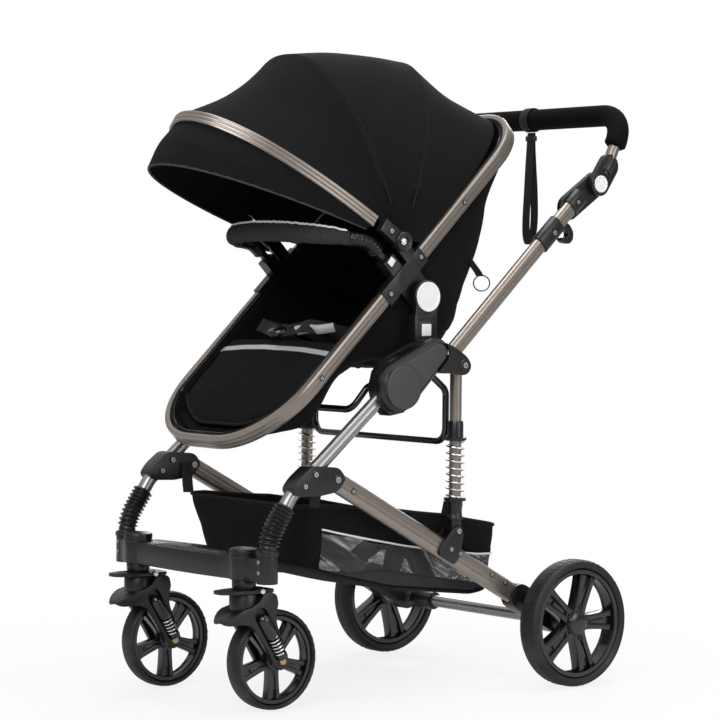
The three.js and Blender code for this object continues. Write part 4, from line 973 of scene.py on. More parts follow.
def tread_tree(wheel_radius, half, count):
    """Tread blocks round a tyre, in two staggered rows about the wheel's centre point."""
    t = Tree("Tread", "tyre", Radius=wheel_radius * MM, Half=half * MM, Blocks=count)
    size = (half * 0.5 * MM, wheel_radius * math.tau / count * 0.62 * MM, 1.6 * MM)
    rows = []
    for side in (-1, 1):
        hoop = t.add("GeometryNodeMeshCircle", Vertices=t.given("Blocks"), Radius=t.given("Radius"))
        turned = t.add("GeometryNodeTransform", Geometry=hoop,
                       Rotation=(side * math.pi / count / 2, math.pi / 2, 0))
        pad = t.add("GeometryNodeMeshCube", Size=size)
        skew = t.add("GeometryNodeTransform", Geometry=pad, Rotation=(0, 0, side * 0.42))
        away = t.add("GeometryNodeInputPosition")
        aim = t.add("FunctionNodeAlignRotationToVector", {"axis": "Z"}, Vector=away)
        upright = t.add("FunctionNodeAlignRotationToVector", {"axis": "X", "pivot_axis": "Z"}, Rotation=aim,
                        Vector=(1, 0, 0))
        cast = t.add("GeometryNodeInstanceOnPoints", Points=turned, Instance=skew, Rotation=upright)
        step = t.add("ShaderNodeVectorMath", {"operation": "SCALE"}, _0=(side, 0, 0), Scale=half * 0.3 * MM)
        rows.append(t.add("GeometryNodeTransform", Geometry=cast, Translation=step))
    both = t.add("GeometryNodeJoinGeometry", _0=rows)
    return t.close(t.add("GeometryNodeInstanceOnPoints", Points=t.given("Geometry"), Instance=both))


def line_mesh(points):
    """Points in millimetres as a line of edges in metres."""
    data = bpy.data.meshes.new("line")
    data.from_pydata([metres(p) for p in points], [(i, i + 1) for i in range(len(points) - 1)], [])
    return data


# ------------------------------------------------------------------ tubes
SEAT_TILT = heading(SEAT_BOTTOM, SEAT_TOP)
SEAT_MIDDLE = tuple((a + b) / 2 for a, b in zip(SEAT_BOTTOM, SEAT_TOP))
SEAT_HALF = span(SEAT_BOTTOM, SEAT_TOP) / 2
TUBE_SLOPE = heading(TUBE_FOOT, TUBE_TOP)
SEAT_NORMAL = Vector((0, math.cos(math.radians(SEAT_TILT + 90)), math.sin(math.radians(SEAT_TILT + 90))))


def on_seat(t, n):
    """The place t along the seat frame and n in front of it, in the side view."""
    return beside(SEAT_MIDDLE, SEAT_TILT, t, n)


def seat_ring(half, length, above, below, n, steps=14):
    """A loop round the seat frame with its own corner radius above and below, n in front of it."""
    flat = arc((half - above, length - above), above, 0, 90, steps)
    flat += arc((above - half, length - above), above, 90, 180, steps)
    flat += arc((below - half, below - length), below, 180, 270, steps)
    flat += arc((half - below, below - length), below, 270, 360, steps)
    return [at(x, on_seat(t, n)) for x, t in flat]


def bar_section(depth, width, corner=3.6, groove=0.18):
    """A flat bar's section: depth by width, with two fine lines on each face."""
    d, w = depth / 2, width / 2
    lines = [d * 0.42, d * 0.34, d * 0.26]
    faces = []
    for sign in (1, -1):
        across = [lines[0], lines[1], lines[2], -lines[2], -lines[1], -lines[0]]
        edge = [(m * sign, (w - (groove if i in (1, 4) else 0)) * sign) for i, m in enumerate(across)]
        corner_a = [(sign * (d - corner + corner * math.sin(a)), sign * (w - corner + corner * math.cos(a)))
                    for a in (math.pi / 2, math.pi / 4, 0)]
        corner_b = [(-sign * (d - corner + corner * math.sin(a)), sign * (w - corner + corner * math.cos(a)))
                    for a in (0, math.pi / 4, math.pi / 2)]
        faces += corner_a + edge + corner_b
    return faces


def leg_route():
    """The middle line of a front leg."""
    return bend([at(LEG_X, p) for p in (LEG_FOOT, LEG_KNEE, LEG_ELBOW, LEG_TOP)], [90, 60], 10)


def grip_corners():
    """The corner points of the handle's bar, from its left joint to its right one."""
    start = at(TUBE_X, toward(GRIP_PIVOT, heading(GRIP_PIVOT, GRIP_BEND), 24))
    left = [start, at(TUBE_X, GRIP_BEND), at(TUBE_X, GRIP_TOP)]
    return both_ways(left)


def cut_path(path, start, end):
    """The stretch of a path between two distances along it."""
    out, run = [], 0.0
    for a, b in zip(path, path[1:]):
        step = (b - a).length
        for limit in (start, end):
            if run < limit < run + step:
                out.append(a.lerp(b, (limit - run) / step))
        run += step
        if start < run < end:
            out.append(b)
    if start <= 0:
        out.insert(0, path[0])
    return out


def total(path):
    """The length of a path."""
    return sum((b - a).length for a, b in zip(path, path[1:]))


def dense(path, step):
    """A path with points at even steps."""
    whole = total(path)
    count = max(2, round(whole / step))
    out, i, run = [path[0]], 0, 0.0
    for k in range(1, count):
        want = whole * k / count
        while run + (path[i + 1] - path[i]).length < want:
            run += (path[i + 1] - path[i]).length
            i += 1
        out.append(path[i].lerp(path[i + 1], (want - run) / (path[i + 1] - path[i]).length))
    return out + [path[-1]]


def make_tubes():
    """The bare metal: legs, handle, grip bar, seat frame, struts, rear legs and axle tube."""
    s = bpy.context.scene.stroller_sizes
    for word, side in SIDES.items():
        leg = sweep(leg_route(), circle(LEG_RADIUS, 28))
        leg.on(side).piece(f"front_leg_tube_{word}", "silver", "front_frame", f"front_leg_{word}")
        tube = sweep([at(TUBE_X, toward(TUBE_FOOT, TUBE_SLOPE, 22)), at(TUBE_X, TUBE_TOP)],
                     flat_oval(16, 30, 8, s.tube_groove / MM))
        tube.on(side).piece(f"handle_tube_metal_{word}", "champagne", "handle", f"handle_tube_{word}")
        slope = heading(REAR_PIVOT, REAR_LEG_END)
        ends = [at(LEG_X, toward(REAR_PIVOT, slope, 10)), at(LEG_X, toward(REAR_LEG_END, slope, 4))]
        rear = sweep(ends, flat_oval(20, 36, 8, s.tube_groove / MM))
        rear.on(side).piece(f"rear_leg_tube_{word}", "champagne", "rear_frame", f"rear_leg_{word}")
        y, foot = STRUT_FOOT
        post = rod((STRUT_X, y, foot + 20), (STRUT_X, y, STRUT_HEAD[1]), 10.5, 28)
        post.on(side).piece(f"strut_tube_{word}", "champagne", "struts", f"strut_{word}")
    grip = sweep(bend(grip_corners(), [40, 60, 60, 40], 10), circle(GRIP_RADIUS, 24), (0, -0.894, 0.447))
    grip.piece("grip_tube", "champagne", "grip", "grip_bar")
    ring = seat_ring(SEAT_X, SEAT_HALF, SEAT_TOP_CORNER, SEAT_BOTTOM_CORNER, 0)
    frame_bar = sweep(ring, bar_section(SEAT_DEPTH, SEAT_BAR), SEAT_NORMAL, closed=True)
    frame_bar.piece("seat_frame_bar", "champagne", "seat", "seat_frame")
    axle = pin(REAR_AXLE, -194, 194, 11, 32)
    axle.piece("axle_tube", "silver", "rear_frame")
    front = both_ways([at(CARRIER_OUT - 9.3, (-404, 545)), at(CARRIER_OUT - 23.3, (-404, 545)),
                       at(162, (-430, 504))])
    front_bar = sweep(bend(front, [10, 22, 22, 10], 6), circle(6, 16), (0, -0.845, 0.536))
    front_bar.piece("front_crossbar_rod", "gloss", "front_frame", "front_crossbar")
    top = at(187, (-274, 574.7))
    rear = both_ways([top, top - Vector((0, 0, 12)), at(187, (-238, 535)), at(187, (-238, 444))])
    rear_bar = sweep(bend(rear, [6, 20, 24, 24, 20, 6], 6), circle(6, 16), (0, 1, 0))
    rear_bar.piece("rear_crossbar_rod", "gloss", "front_frame", "rear_crossbar")


def make_foam():
    """The foam grip, narrowed at each end."""
    foot = toward(GRIP_TOP, heading(GRIP_TOP, GRIP_BEND), 68)
    path = dense(bend(both_ways([at(TUBE_X, foot), at(TUBE_X, GRIP_TOP)]), [60, 60], 14), 5)
    whole = total(path)

    def swell(t):
        near = min(t, 1 - t) * whole
        ends = 1 - 0.28 * max(0.0, 1 - near / 4) ** 2
        return ends * (1 + 0.006 * noise.noise(Vector((t * 30, 0, 0))))

    foam = sweep(path, circle(FOAM_RADIUS, 28), (0, -0.894, 0.447), scale=swell)
    foam.piece("grip_foam_sleeve", "foam", "grip", "grip_foam", sharp=60)


# ------------------------------------------------------------------ mouldings
def carved(form, cutter):
    """A form with another cut out of it."""
    pair = []
    for part in (form, cutter):
        bm = part.mesh()
        data = bpy.data.meshes.new("part")
        bm.to_mesh(data)
        bm.free()
        pair.append(bpy.data.objects.new("part", data))
        bpy.context.scene.collection.objects.link(pair[-1])
    modifier = pair[0].modifiers.new("Cut", "BOOLEAN")
    modifier.operation, modifier.solver, modifier.object = "DIFFERENCE", "EXACT", pair[1]
    applied(pair[0])
    bm = bmesh.new()
    bm.from_mesh(pair[0].data)
    for obj in pair:
        bpy.data.objects.remove(obj)
    if not bm.loops.layers.uv.active:
        bm.loops.layers.uv.new("thread")
    return Form.of(bm)


def skin(node, name, finish, body, bevel=0.9, cutter=None):
    """A moulding in the frame's own shape with its edges eased, and hollows cut in it."""
    bm = bmesh.new()
    bm.from_mesh(frame["nodes"][node].data)
    for v in bm.verts:
        v.co = millimetres(v.co)
    bmesh.ops.remove_doubles(bm, verts=bm.verts, dist=0.01)
    bmesh.ops.dissolve_limit(bm, angle_limit=math.radians(2), verts=bm.verts, edges=bm.edges)
    edges = [e for e in bm.edges if len(e.link_faces) == 2 and e.calc_face_angle() > math.radians(40)
             and e.calc_length() > 0.5]
    if bevel:
        bmesh.ops.bevel(bm, geom=edges, offset=bevel, segments=2, profile=0.6, affect="EDGES",
                        clamp_overlap=True)
    bm.loops.layers.uv.new("thread")
    form = Form.of(bm)
    if cutter:
        form = carved(form, cutter)
    return form.piece(name, finish, body, node, sharp=32)


EAR = [(-304, 622), (-281, 619), (-258, 608), (-236, 594), (-227, 579), (-234, 566), (-248, 562), (-272, 567),
       (-300, 566)]
EAR_SCREW = (-243, 580)
HINGE_LOW, HINGE_HIGH = ((-386, 545), 43), ((-302, 602.5), 25)  # centre and radius
DISC_PLACE = (-381, 545)


def belt(a, wide_a, b, wide_b):
    """The outline of a belt round two discs."""
    steps = 24
    way = heading(a, b)
    swing = math.degrees(math.acos((wide_a - wide_b) / span(a, b)))
    tip = [toward(b, way - swing + 2 * swing * k / steps, wide_b) for k in range(steps + 1)]
    foot = [toward(a, way + swing + (360 - 2 * swing) * k / steps / 2, wide_a) for k in range(2 * steps + 1)]
    return tip + foot


def inset(outline, by):
    """An outline drawn in towards its own middle by a distance."""
    n = len(outline)
    out = []
    area = sum(outline[i - 1][0] * outline[i][1] - outline[i][0] * outline[i - 1][1] for i in range(n))
    sign = 1 if area > 0 else -1
    for i, p in enumerate(outline):
        a, b = outline[i - 1], outline[(i + 1) % n]
        turn = math.radians(heading(a, b) + 90 * sign)
        out.append((p[0] + by * math.cos(turn), p[1] + by * math.sin(turn)))
    return out


def make_hinges():
    """The fold hinges: outer covers with a raised rim and a disc, ears and inner drums."""
    for word, side in SIDES.items():
        edge = belt(*HINGE_LOW, *HINGE_HIGH)
        body = plate(edge, COVER_IN, COVER_OUT - 8, 0.8)
        face = plate(inset(edge, 8.6), COVER_OUT - 6, COVER_OUT - 0.8, 1.2, 3)
        lip = Form()
        n = len(edge)
        rings = [(inset(edge, 0.3), COVER_OUT - 9), (inset(edge, 0.6), COVER_OUT - 6.6),
                 (inset(edge, 1.8), COVER_OUT - 6.2), (inset(edge, 7.2), COVER_OUT - 1.3),
                 (inset(edge, 8.2), COVER_OUT - 3.2), (inset(edge, 8.6), COVER_OUT - 9)]
        m = len(rings)
        lip.add([at(x, p) for ring, x in rings for p in ring],
                [[k * n + i, (k + 1) % m * n + i, (k + 1) % m * n + (i + 1) % n, k * n + (i + 1) % n]
                 for k in range(m) for i in range(n)])
        disc = spun([(0, -1), (37.5, -1), (37.5, 1.6), (36.7, 2.2), (35.5, 2.3), (0, 2.3)],
                    (COVER_OUT - 1.6, *DISC_PLACE), sides=64)
        groove = spun([(37.3, 0), (37.3, 1.35), (38.7, 1.35), (38.7, 0)], (COVER_OUT - 1.6, *DISC_PLACE),
                      sides=64)
        ear = carved(plate(rounded(EAR, 12, 6), COVER_IN, COVER_OUT - 1.2, 1.4, 3),
                     plate(inset(edge, 2.4), COVER_IN + 8, 260))
        bolt = pin(STRUT_HEAD, COVER_IN - 0.6, COVER_IN + 4, 8, 24).bevelled(1.0)
        boss = spun([(0, 0.4), (6.4, 0.4), (7, 2.0), (9.4, 2.4), (11.6, 1.8), (12.6, 0), (12.6, -2), (0, -2)],
                    (COVER_OUT - 1.4, *EAR_SCREW), sides=40)
        whole = merged(body, lip, ear, bolt, boss, groove)
        merged(face, disc).on(side).piece(f"hinge_face_{word}", "grey_plastic", "handle")
        whole.on(side).piece(f"hinge_shield_{word}", "plastic", "handle", f"hinge_cover_{word}")
        below = plate([(-450, 430), (-250, 430), (-250, 556), (-292, 562), (-332, 527), (-364, 500),
                       (-396, 495), (-450, 503)], 190, 223.9).on(side)
        skin(f"hinge_shell_{word}", f"hinge_drum_{word}", "plastic", "front_frame", cutter=below)
        skin(f"leg_bracket_{word}", f"leg_clamp_{word}", "plastic", "front_frame", 1.6)
        slope = heading(REAR_PIVOT, REAR_LEG_END)
        under = toward(STRUT_FOOT, slope - 90, 38)
        shape = [toward(STRUT_FOOT, slope + 90, 12), toward(STRUT_FOOT, slope, 13), toward(under, slope, 24),
                 toward(toward(under, slope, 20), slope - 90, 18),
                 toward(toward(under, slope, -22), slope - 90, 18), toward(under, slope, -24),
                 toward(STRUT_FOOT, slope, -13)]
        cheeks = merged(*[plate(rounded(shape, 6, 4), a, b, 0.9) for a, b in ((195.5, 200.4), (219.6, 225))])
        cheeks.on(side).piece(f"strut_foot_cheeks_{word}", "plastic", "rear_frame")
        tongue = plate(capsule(STRUT_FOOT, (STRUT_FOOT[0], STRUT_FOOT[1] + 26), 11), 203, 219, 1.0)
        tongue.on(side).piece(f"strut_foot_tongue_{word}", "plastic", "struts")


def make_struts():
    """The strut collars and flanges, turned in one, and the coil springs round the struts."""
    s = bpy.context.scene.stroller_sizes
    y = STRUT_FOOT[0]
    low = [(10.4, 308), (14, 309), (14, 314), (13, 316), (13, 330), (14, 332), (14, 341), (19.5, 342),
           (19.5, 347), (18, 348), (12, 348.4), (10.4, 348.4)]
    high = [(10.4, 447), (18, 447.4), (19.5, 448.4), (19.5, 453), (14.4, 454), (14, 457), (14, 478),
            (12.6, 482), (10.4, 482)]
    for word, side in SIDES.items():
        collars = merged(spun(low, (STRUT_X, y, 0), (0, 0, 1), 40),
                         spun(high, (STRUT_X, y, 0), (0, 0, 1), 40))
        collars.on(side).piece(f"strut_collars_{word}", "plastic", "struts")
        head = pin(STRUT_HEAD, STRUT_X - 10.5, STRUT_X + 10.5, 12, 28).bevelled(1.2)
        head.on(side).piece(f"strut_head_{word}", "plastic", "struts")
        foot = marks([((side * STRUT_X, y, 348.3), (0, 0, 1), 1)])
        spring_tree(s.spring_turns, 15.4, 98.4, 1.55).grow(f"strut_coil_{word}", foot, "struts",
                                                           f"strut_spring_{word}")


BOOT_LOW, BOOT_HIGH = 277, 348


def make_boots():
    """The ribbed rubber boots on the front legs."""
    path = leg_route()
    ends = []
    for height in (BOOT_LOW, BOOT_HIGH):
        i = next(i for i, p in enumerate(path) if p.z > height)
        ends.append((i, path[i - 1].lerp(path[i], (height - path[i - 1].z) / (path[i].z - path[i - 1].z))))
    (start, first), (stop, last) = ends
    route = dense([first, *path[start:stop], last], 1.05)
    ribs = bpy.context.scene.stroller_sizes.boot_ribs

    def girth(t):
        wave = 0.5 - 0.5 * math.cos(math.tau * ribs * t)
        plain_end = 1.06 if t < 0.06 else 1.0
        return plain_end + 0.32 * wave ** 1.4 * min(1, max(0, t - 0.05) * 18)

    boot = sweep(route, circle(LEG_RADIUS + 1.6, 30), scale=girth)
    for word, side in SIDES.items():
        boot.on(side).piece(f"leg_bellows_{word}", "rubber", "front_frame", f"leg_boot_{word}", sharp=70)


def button(centre, face, radius, inner):
    """A round press button: a thin raised rim round a barely dished face."""
    profile = [(0, -4), (radius, -4), (radius, 1.6), (radius - 0.8, 2.4), (radius - 2.2, 2.4), (inner, 1.5),
               (inner - 3, 1.7), (0, 2.1)]
    return spun(profile, (face, *centre), sides=56)


def make_carriers():
    """The parts that hold the seat: receivers, carriers, connectors and their buttons."""
    for word, side in SIDES.items():
        skin(f"seat_carrier_{word}", f"carrier_block_{word}", "plastic", "seat_carriers", 1.2)
        corners = [(186.4, 60), (204, 60), (204, -90), (180, -90), (180, -16.2), (186.4, -16.2)]
        beside = Form()
        beside.add([at(x, on_seat(t, n)) for t in (-90, 90) for x, n in corners],
                   [[0, 1, 2, 3, 4, 5], [11, 10, 9, 8, 7, 6], *[[i, i + 6, (i + 1) % 6 + 6, (i + 1) % 6]
                                                               for i in range(6)]])
        skin(f"seat_connector_{word}", f"seat_clamp_{word}", "plastic", "seat", 1.0, cutter=beside.on(side))
        end = [on_seat(t, n) for t, n in ((37, -15.6), (58, -15.6), (58, 15.6), (37, 15.6))]
        longer = plate(end, 169.7, 186.3, 1.0)
        longer.on(side).piece(f"seat_clamp_end_{word}", "plastic", "seat")
        ring = spun([(26.5, -3), (29, -3), (29, 0.3), (28.2, 1.1), (27.2, 1.0), (26.5, 0.2)],
                    (CARRIER_OUT - 0.5, *TILT_PIVOT), sides=64)
        plinth = plate(rounded([(-310, 625), (-278, 625), (-278, 657), (-310, 657)], 4, 4), CARRIER_OUT - 2,
                       CARRIER_OUT + 0.9, 0.7)
        ledge = block(184, CARRIER_OUT + 0.8, -317, -271, 661, 664.5, 0.8)
        ledge_low = block(184, CARRIER_OUT + 0.6, -316, -272, 621, 623.5, 0.7)
        merged(ring, plinth, ledge, ledge_low).on(side).piece(f"carrier_trim_{word}", "plastic",
                                                              "seat_carriers")
        tilt = button(TILT_PIVOT, CARRIER_OUT, 26, 21)
        tilt.on(side).piece(f"tilt_button_face_{word}", "white", f"tilt_press_{word}", f"tilt_button_{word}")
        square = block(194.5, CARRIER_OUT + 2.2, -304.5, -283.5, 630.5, 651.5, 1.8, 3)
        square.on(side).piece(f"carrier_button_face_{word}", "white", f"carrier_press_{word}",
                              f"carrier_button_{word}")
        grip = button(GRIP_PIVOT, COVER_OUT, 15.4, 12.6)
        grip.on(side).piece(f"grip_button_face_{word}", "white", f"grip_press_{word}", f"grip_button_{word}")
        skin(f"bar_button_{word}", f"bar_button_face_{word}", "white", f"bar_press_{word}", 0.8)


CATCH_HOOK = [(386, 6), (391, 22), (388, 37), (378, 46), (366, 45), (357, 34), (356, 26), (361, 24),
              (367, 31), (374, 33), (378, 27), (376, 19), (366, 14), (356, 12), (356, 4), (372, 4)]


def make_handle_joints():
    """The joints between the handle's tubes and its grip, and the fold triggers."""
    for word, side in SIDES.items():
        foot = toward(TUBE_TOP, TUBE_SLOPE, -18)
        knuckle = plate(capsule(foot, GRIP_PIVOT, 23, 14), COVER_IN, COVER_IN + 10, 1.4, 3)
        socket = sweep([at(TUBE_X, toward(TUBE_TOP, TUBE_SLOPE, -20)),
                        at(TUBE_X, toward(TUBE_TOP, TUBE_SLOPE, 14))], flat_oval(21, 35, 8)).bevelled(1.2)
        merged(knuckle, socket).on(side).piece(f"handle_knuckle_{word}", "plastic", "handle")
        turn = heading(GRIP_BEND, GRIP_TOP)
        head = carved(plate(capsule(GRIP_PIVOT, toward(GRIP_PIVOT, turn - 8, 40), 22, 14), COVER_IN + 10.3,
                            COVER_OUT, 1.6, 3), pin(GRIP_PIVOT, COVER_OUT - 7.6, COVER_OUT + 4, 16, 48))
        ring = spun([(16, -2), (18.6, -2), (18.6, 0.5), (17.8, 1.2), (16.6, 1.0), (16, 0.4)],
                    (COVER_OUT - 0.3, *GRIP_PIVOT), sides=48)
        start = toward(GRIP_PIVOT, heading(GRIP_PIVOT, GRIP_BEND), 27)
        arm = rod(at(TUBE_X, start), at(TUBE_X, GRIP_BEND), 15, 28).bevelled(1.4)
        merged(head, ring, arm).on(side).piece(f"grip_knuckle_{word}", "plastic", "grip")
        ends = [at(TUBE_X, toward(TUBE_FOOT, TUBE_SLOPE, d)) for d in (314, 372)]
        hook = [toward(toward(TUBE_FOOT, TUBE_SLOPE, d), TUBE_SLOPE - 90, off) for d, off in CATCH_HOOK]
        catch = merged(sweep(ends, flat_oval(23, 37, 8)).bevelled(1.2),
                       plate(rounded(hook, 4, 5), TUBE_X - 9, TUBE_X + 4, 2.0, 3))
        catch.on(side).piece(f"fold_catch_{word}", "plastic", f"trigger_{word}", f"fold_trigger_{word}")
        spot = (side * (TUBE_X + 11.4), *toward(toward(TUBE_FOOT, TUBE_SLOPE, 348), TUBE_SLOPE - 90, 2))
        screw_tree().grow(f"fold_catch_screw_{word}", marks([(spot, (side, 0, 0), 4.2)]), f"trigger_{word}")


def make_base():
    """The footboard with its caster housings."""
    skin("footboard", "foot_rest", "plastic", "front_frame", 2.0)
    lines = []
    for k in range(-5, 6):
        x = k * 17
        bow = 23 * (abs(x) / 158) ** 2
        lines.append(block(x - 3.2, x + 3.2, CASTER_Y - 16 + bow * 0.4, CASTER_Y + 46 - bow, 263.4, 264.9,
                           0.6))
    merged(*lines).piece("foot_rest_treads", "rubber", "front_frame")
    for word, side in SIDES.items():
        cap = spun([(0, 3.6), (9, 3.4), (18, 2.2), (24, 0.6), (25.2, -3), (25.2, -7), (0, -7)],
                   (CASTER_X, CASTER_Y, CASTER_TOP), (0, 0, 1), 48)
        ring = spun([(24.6, 0), (26.4, 0.6), (26.4, 5), (24.6, 5.6)], (CASTER_X, CASTER_Y, CASTER_TOP - 16),
                    (0, 0, 1), 48)
        low = spun([(17.4, 0), (19.6, 0.6), (19.6, 7), (17.4, 7.6)], (LEG_X, LEG_FOOT[0], 268), (0, 0, 1), 40)
        merged(cap, ring, low).on(side).piece(f"caster_cap_{word}", "plastic", "front_frame")


# ------------------------------------------------------------------ wheels
def spoke(centre, angle, start, stop, offset0, offset1, width0, width1, x0, x1):
    """One flat spoke as a plate with eased edges."""
    steps = 6
    one, two = [], []
    for k in range(steps + 1):
        t = k / steps
        reach = lerp(start, stop, t)
        off = lerp(offset0, offset1, t ** 1.2)
        flare = lerp(width0, width1, t) * (1 + 0.5 * (2 * t - 1) ** 4)
        middle = beside(centre, angle, reach, off)
        one.append(toward(middle, angle + 90, flare))
        two.append(toward(middle, angle - 90, flare))
    return plate(two + one[::-1], x0, x1, 1.1)


class WheelKind(NamedTuple):
    """What differs between the front and the rear wheels, in millimetres and degrees."""

    radius: float
    half: float
    x: float
    centre: tuple
    seat: float  # where the tyre sits on the rim
    opening: float  # inside the rim
    hub: float
    boss: tuple  # the hub's profile but for its half width
    sides: int
    turn: float
    spread: float
    spoke: tuple  # half widths at the hub and at the rim
    stud: tuple  # distance from the hub and radius
    bar: float
    blocks: int
    sunk: float


WHEELS = {
    "front": WheelKind(FRONT_RADIUS, FRONT_HALF, FRONT_X, FRONT_AXLE, 77, 67, 17,
                       ((5.3, -1, -1), (14, -1, -1), (17, -1, 1), (17, 1, -1), (14, 1, 1), (5.3, 1, 1)), 44,
                       198, 9.5, (4.2, 3.4), (4.5, 3.6), 9, 42, 2.7),
    "rear": WheelKind(REAR_RADIUS, REAR_HALF, REAR_X, REAR_AXLE, 99, 88, 22,
                      ((6.4, -1, -1), (18, -1, -1), (22, -1, 2), (22, 1, -3), (20, 1, -1), (6.4, 1, -1)), 52,
                      0, 14, (5.2, 4.6), (6.5, 4.8), 13, 54, 1.9),
}


def make_tyre(word, side, kind):
    """A wheel's tyre with its side grooves and tread blocks."""
    k = WHEELS[kind]
    origin = (k.x, *k.centre)
    crown = [(k.seat, -k.half + 4), (k.seat + 2, -k.half + 2.2), (k.radius - 9, -k.half + 0.2),
             (k.radius - 7, -k.half), (k.radius - 4.4, -k.half + 1.6), (k.radius - 2.4, -k.half + 5),
             (k.radius - 1.5, -k.half * 0.3), (k.radius - 1.5, 0)]
    tyre = spun(crown + [(r, -a) for r, a in crown[::-1][1:]], origin, sides=96)
    grooves = [spun([(k.radius - 9.4, s * (k.half - 0.2)), (k.radius - 8.8, s * (k.half + 0.25)),
                     (k.radius - 8.2, s * (k.half - 0.1))], origin, sides=96) for s in (-1, 1)]
    body = f"{kind}_wheel_{word}"
    merged(tyre, *grooves).on(side).piece(f"{kind}_tyre_body_{word}", "tyre", body, f"{kind}_tyre_{word}",
                                          sharp=50)
    hub_mark = marks([((side * k.x, *k.centre), (1, 0, 0), 1)])
    tread_tree(k.radius - k.sunk, k.half, k.blocks).grow(f"{kind}_tread_{word}", hub_mark, body)


def make_rim(word, side, kind):
    """A wheel's rim with its hub and five hollowed pairs of spokes."""
    k = WHEELS[kind]
    x, w, spread = k.x, k.half - 5, k.spread
    origin = (x, *k.centre)
    hoop = [(k.opening, -w + 3), (k.opening + 1.2, -w), (k.seat - 3, -w), (k.seat - 0.3, -w + 2.4),
            (k.seat - 0.3, w - 2.4), (k.seat - 3, w), (k.opening + 1.2, w), (k.opening, w - 3),
            (k.opening + 2.4, w - 5), (k.opening + 2.4, -w + 5)]
    boss = [(r, way * w + more) for r, way, more in k.boss]
    forms = [spun(hoop, origin, sides=80), spun(boss, origin, sides=k.sides)]
    if kind == "rear":
        cap = [(0, w + 3.4), (10, w + 3.0), (17, w + 1.8), (20.4, w + 0.2), (21, w - 2.4), (0, w - 2.4)]
        forms.append(spun(cap, origin, sides=k.sides))
    for i in range(5):
        angle = k.turn + 72 * i

        def across(near, far):
            """The corners of a plate along the spokes, from (reach, half width) at its two ends."""
            corners = ((near[0], -near[1]), (far[0], -far[1]), far, near)
            return [beside(k.centre, angle, *corner) for corner in corners]

        for sign in (-1, 1):
            forms.append(spoke(k.centre, angle, k.hub * 0.72, k.opening + 1.6, sign * spread * 0.5,
                               sign * spread, *k.spoke, x - w * 0.66, x + w * 0.66))
        web = across((k.hub - 2, spread * 0.5), (k.opening + 1, spread))
        forms.append(plate(web, x - w * 0.3, x + w * 0.28))
        inner, wide = k.hub + k.bar, spread * 0.2
        bar = across((inner, wide), (inner + (k.opening - k.hub) * 0.5, wide * 1.7))
        forms.append(plate(bar, x - w * 0.5, x + w * 0.52, 1.0))
        spot = (x, *toward(k.centre, angle, k.hub + k.stud[0]))
        size = k.stud[1]
        forms.append(spun([(size - 1.6, w * 0.6), (size - 1.4, w * 0.76), (size - 0.3, w * 0.76),
                           (size, w * 0.7), (size, w * 0.2), (size - 1.6, w * 0.2)], spot, sides=24))
        forms.append(spun([(0, w * 0.62), (size - 1.5, w * 0.62), (size - 1.5, w * 0.2), (0, w * 0.2)], spot,
                          sides=16))
    merged(*forms).on(side).piece(f"{kind}_rim_body_{word}", "gloss", f"{kind}_wheel_{word}",
                                  f"{kind}_rim_{word}")


def make_wheels():
    """All four wheels."""
    for word, side in SIDES.items():
        for kind in WHEELS:
            make_tyre(word, side, kind)
            make_rim(word, side, kind)


FORK_ARM = [(-657, 149), (-629, 111), (-609, 78), (-597, 70), (-585, 77), (-582, 92), (-595, 122),
            (-606, 150), (-608, 168), (-603, 184), (-607, 200), (-621, 206), (-634, 202), (-643, 189),
            (-657, 182), (-672, 178), (-686, 175), (-702, 170), (-708, 165), (-700, 158), (-680, 154)]
FORK_ROOF = [(-708, 165), (-702, 170), (-686, 175), (-672, 178), (-657, 182), (-643, 189), (-634, 202),
             (-621, 206), (-607, 200), (-603, 184), (-610, 178.5), (-625, 177), (-641, 169), (-657, 163),
             (-680, 160), (-700, 160)]


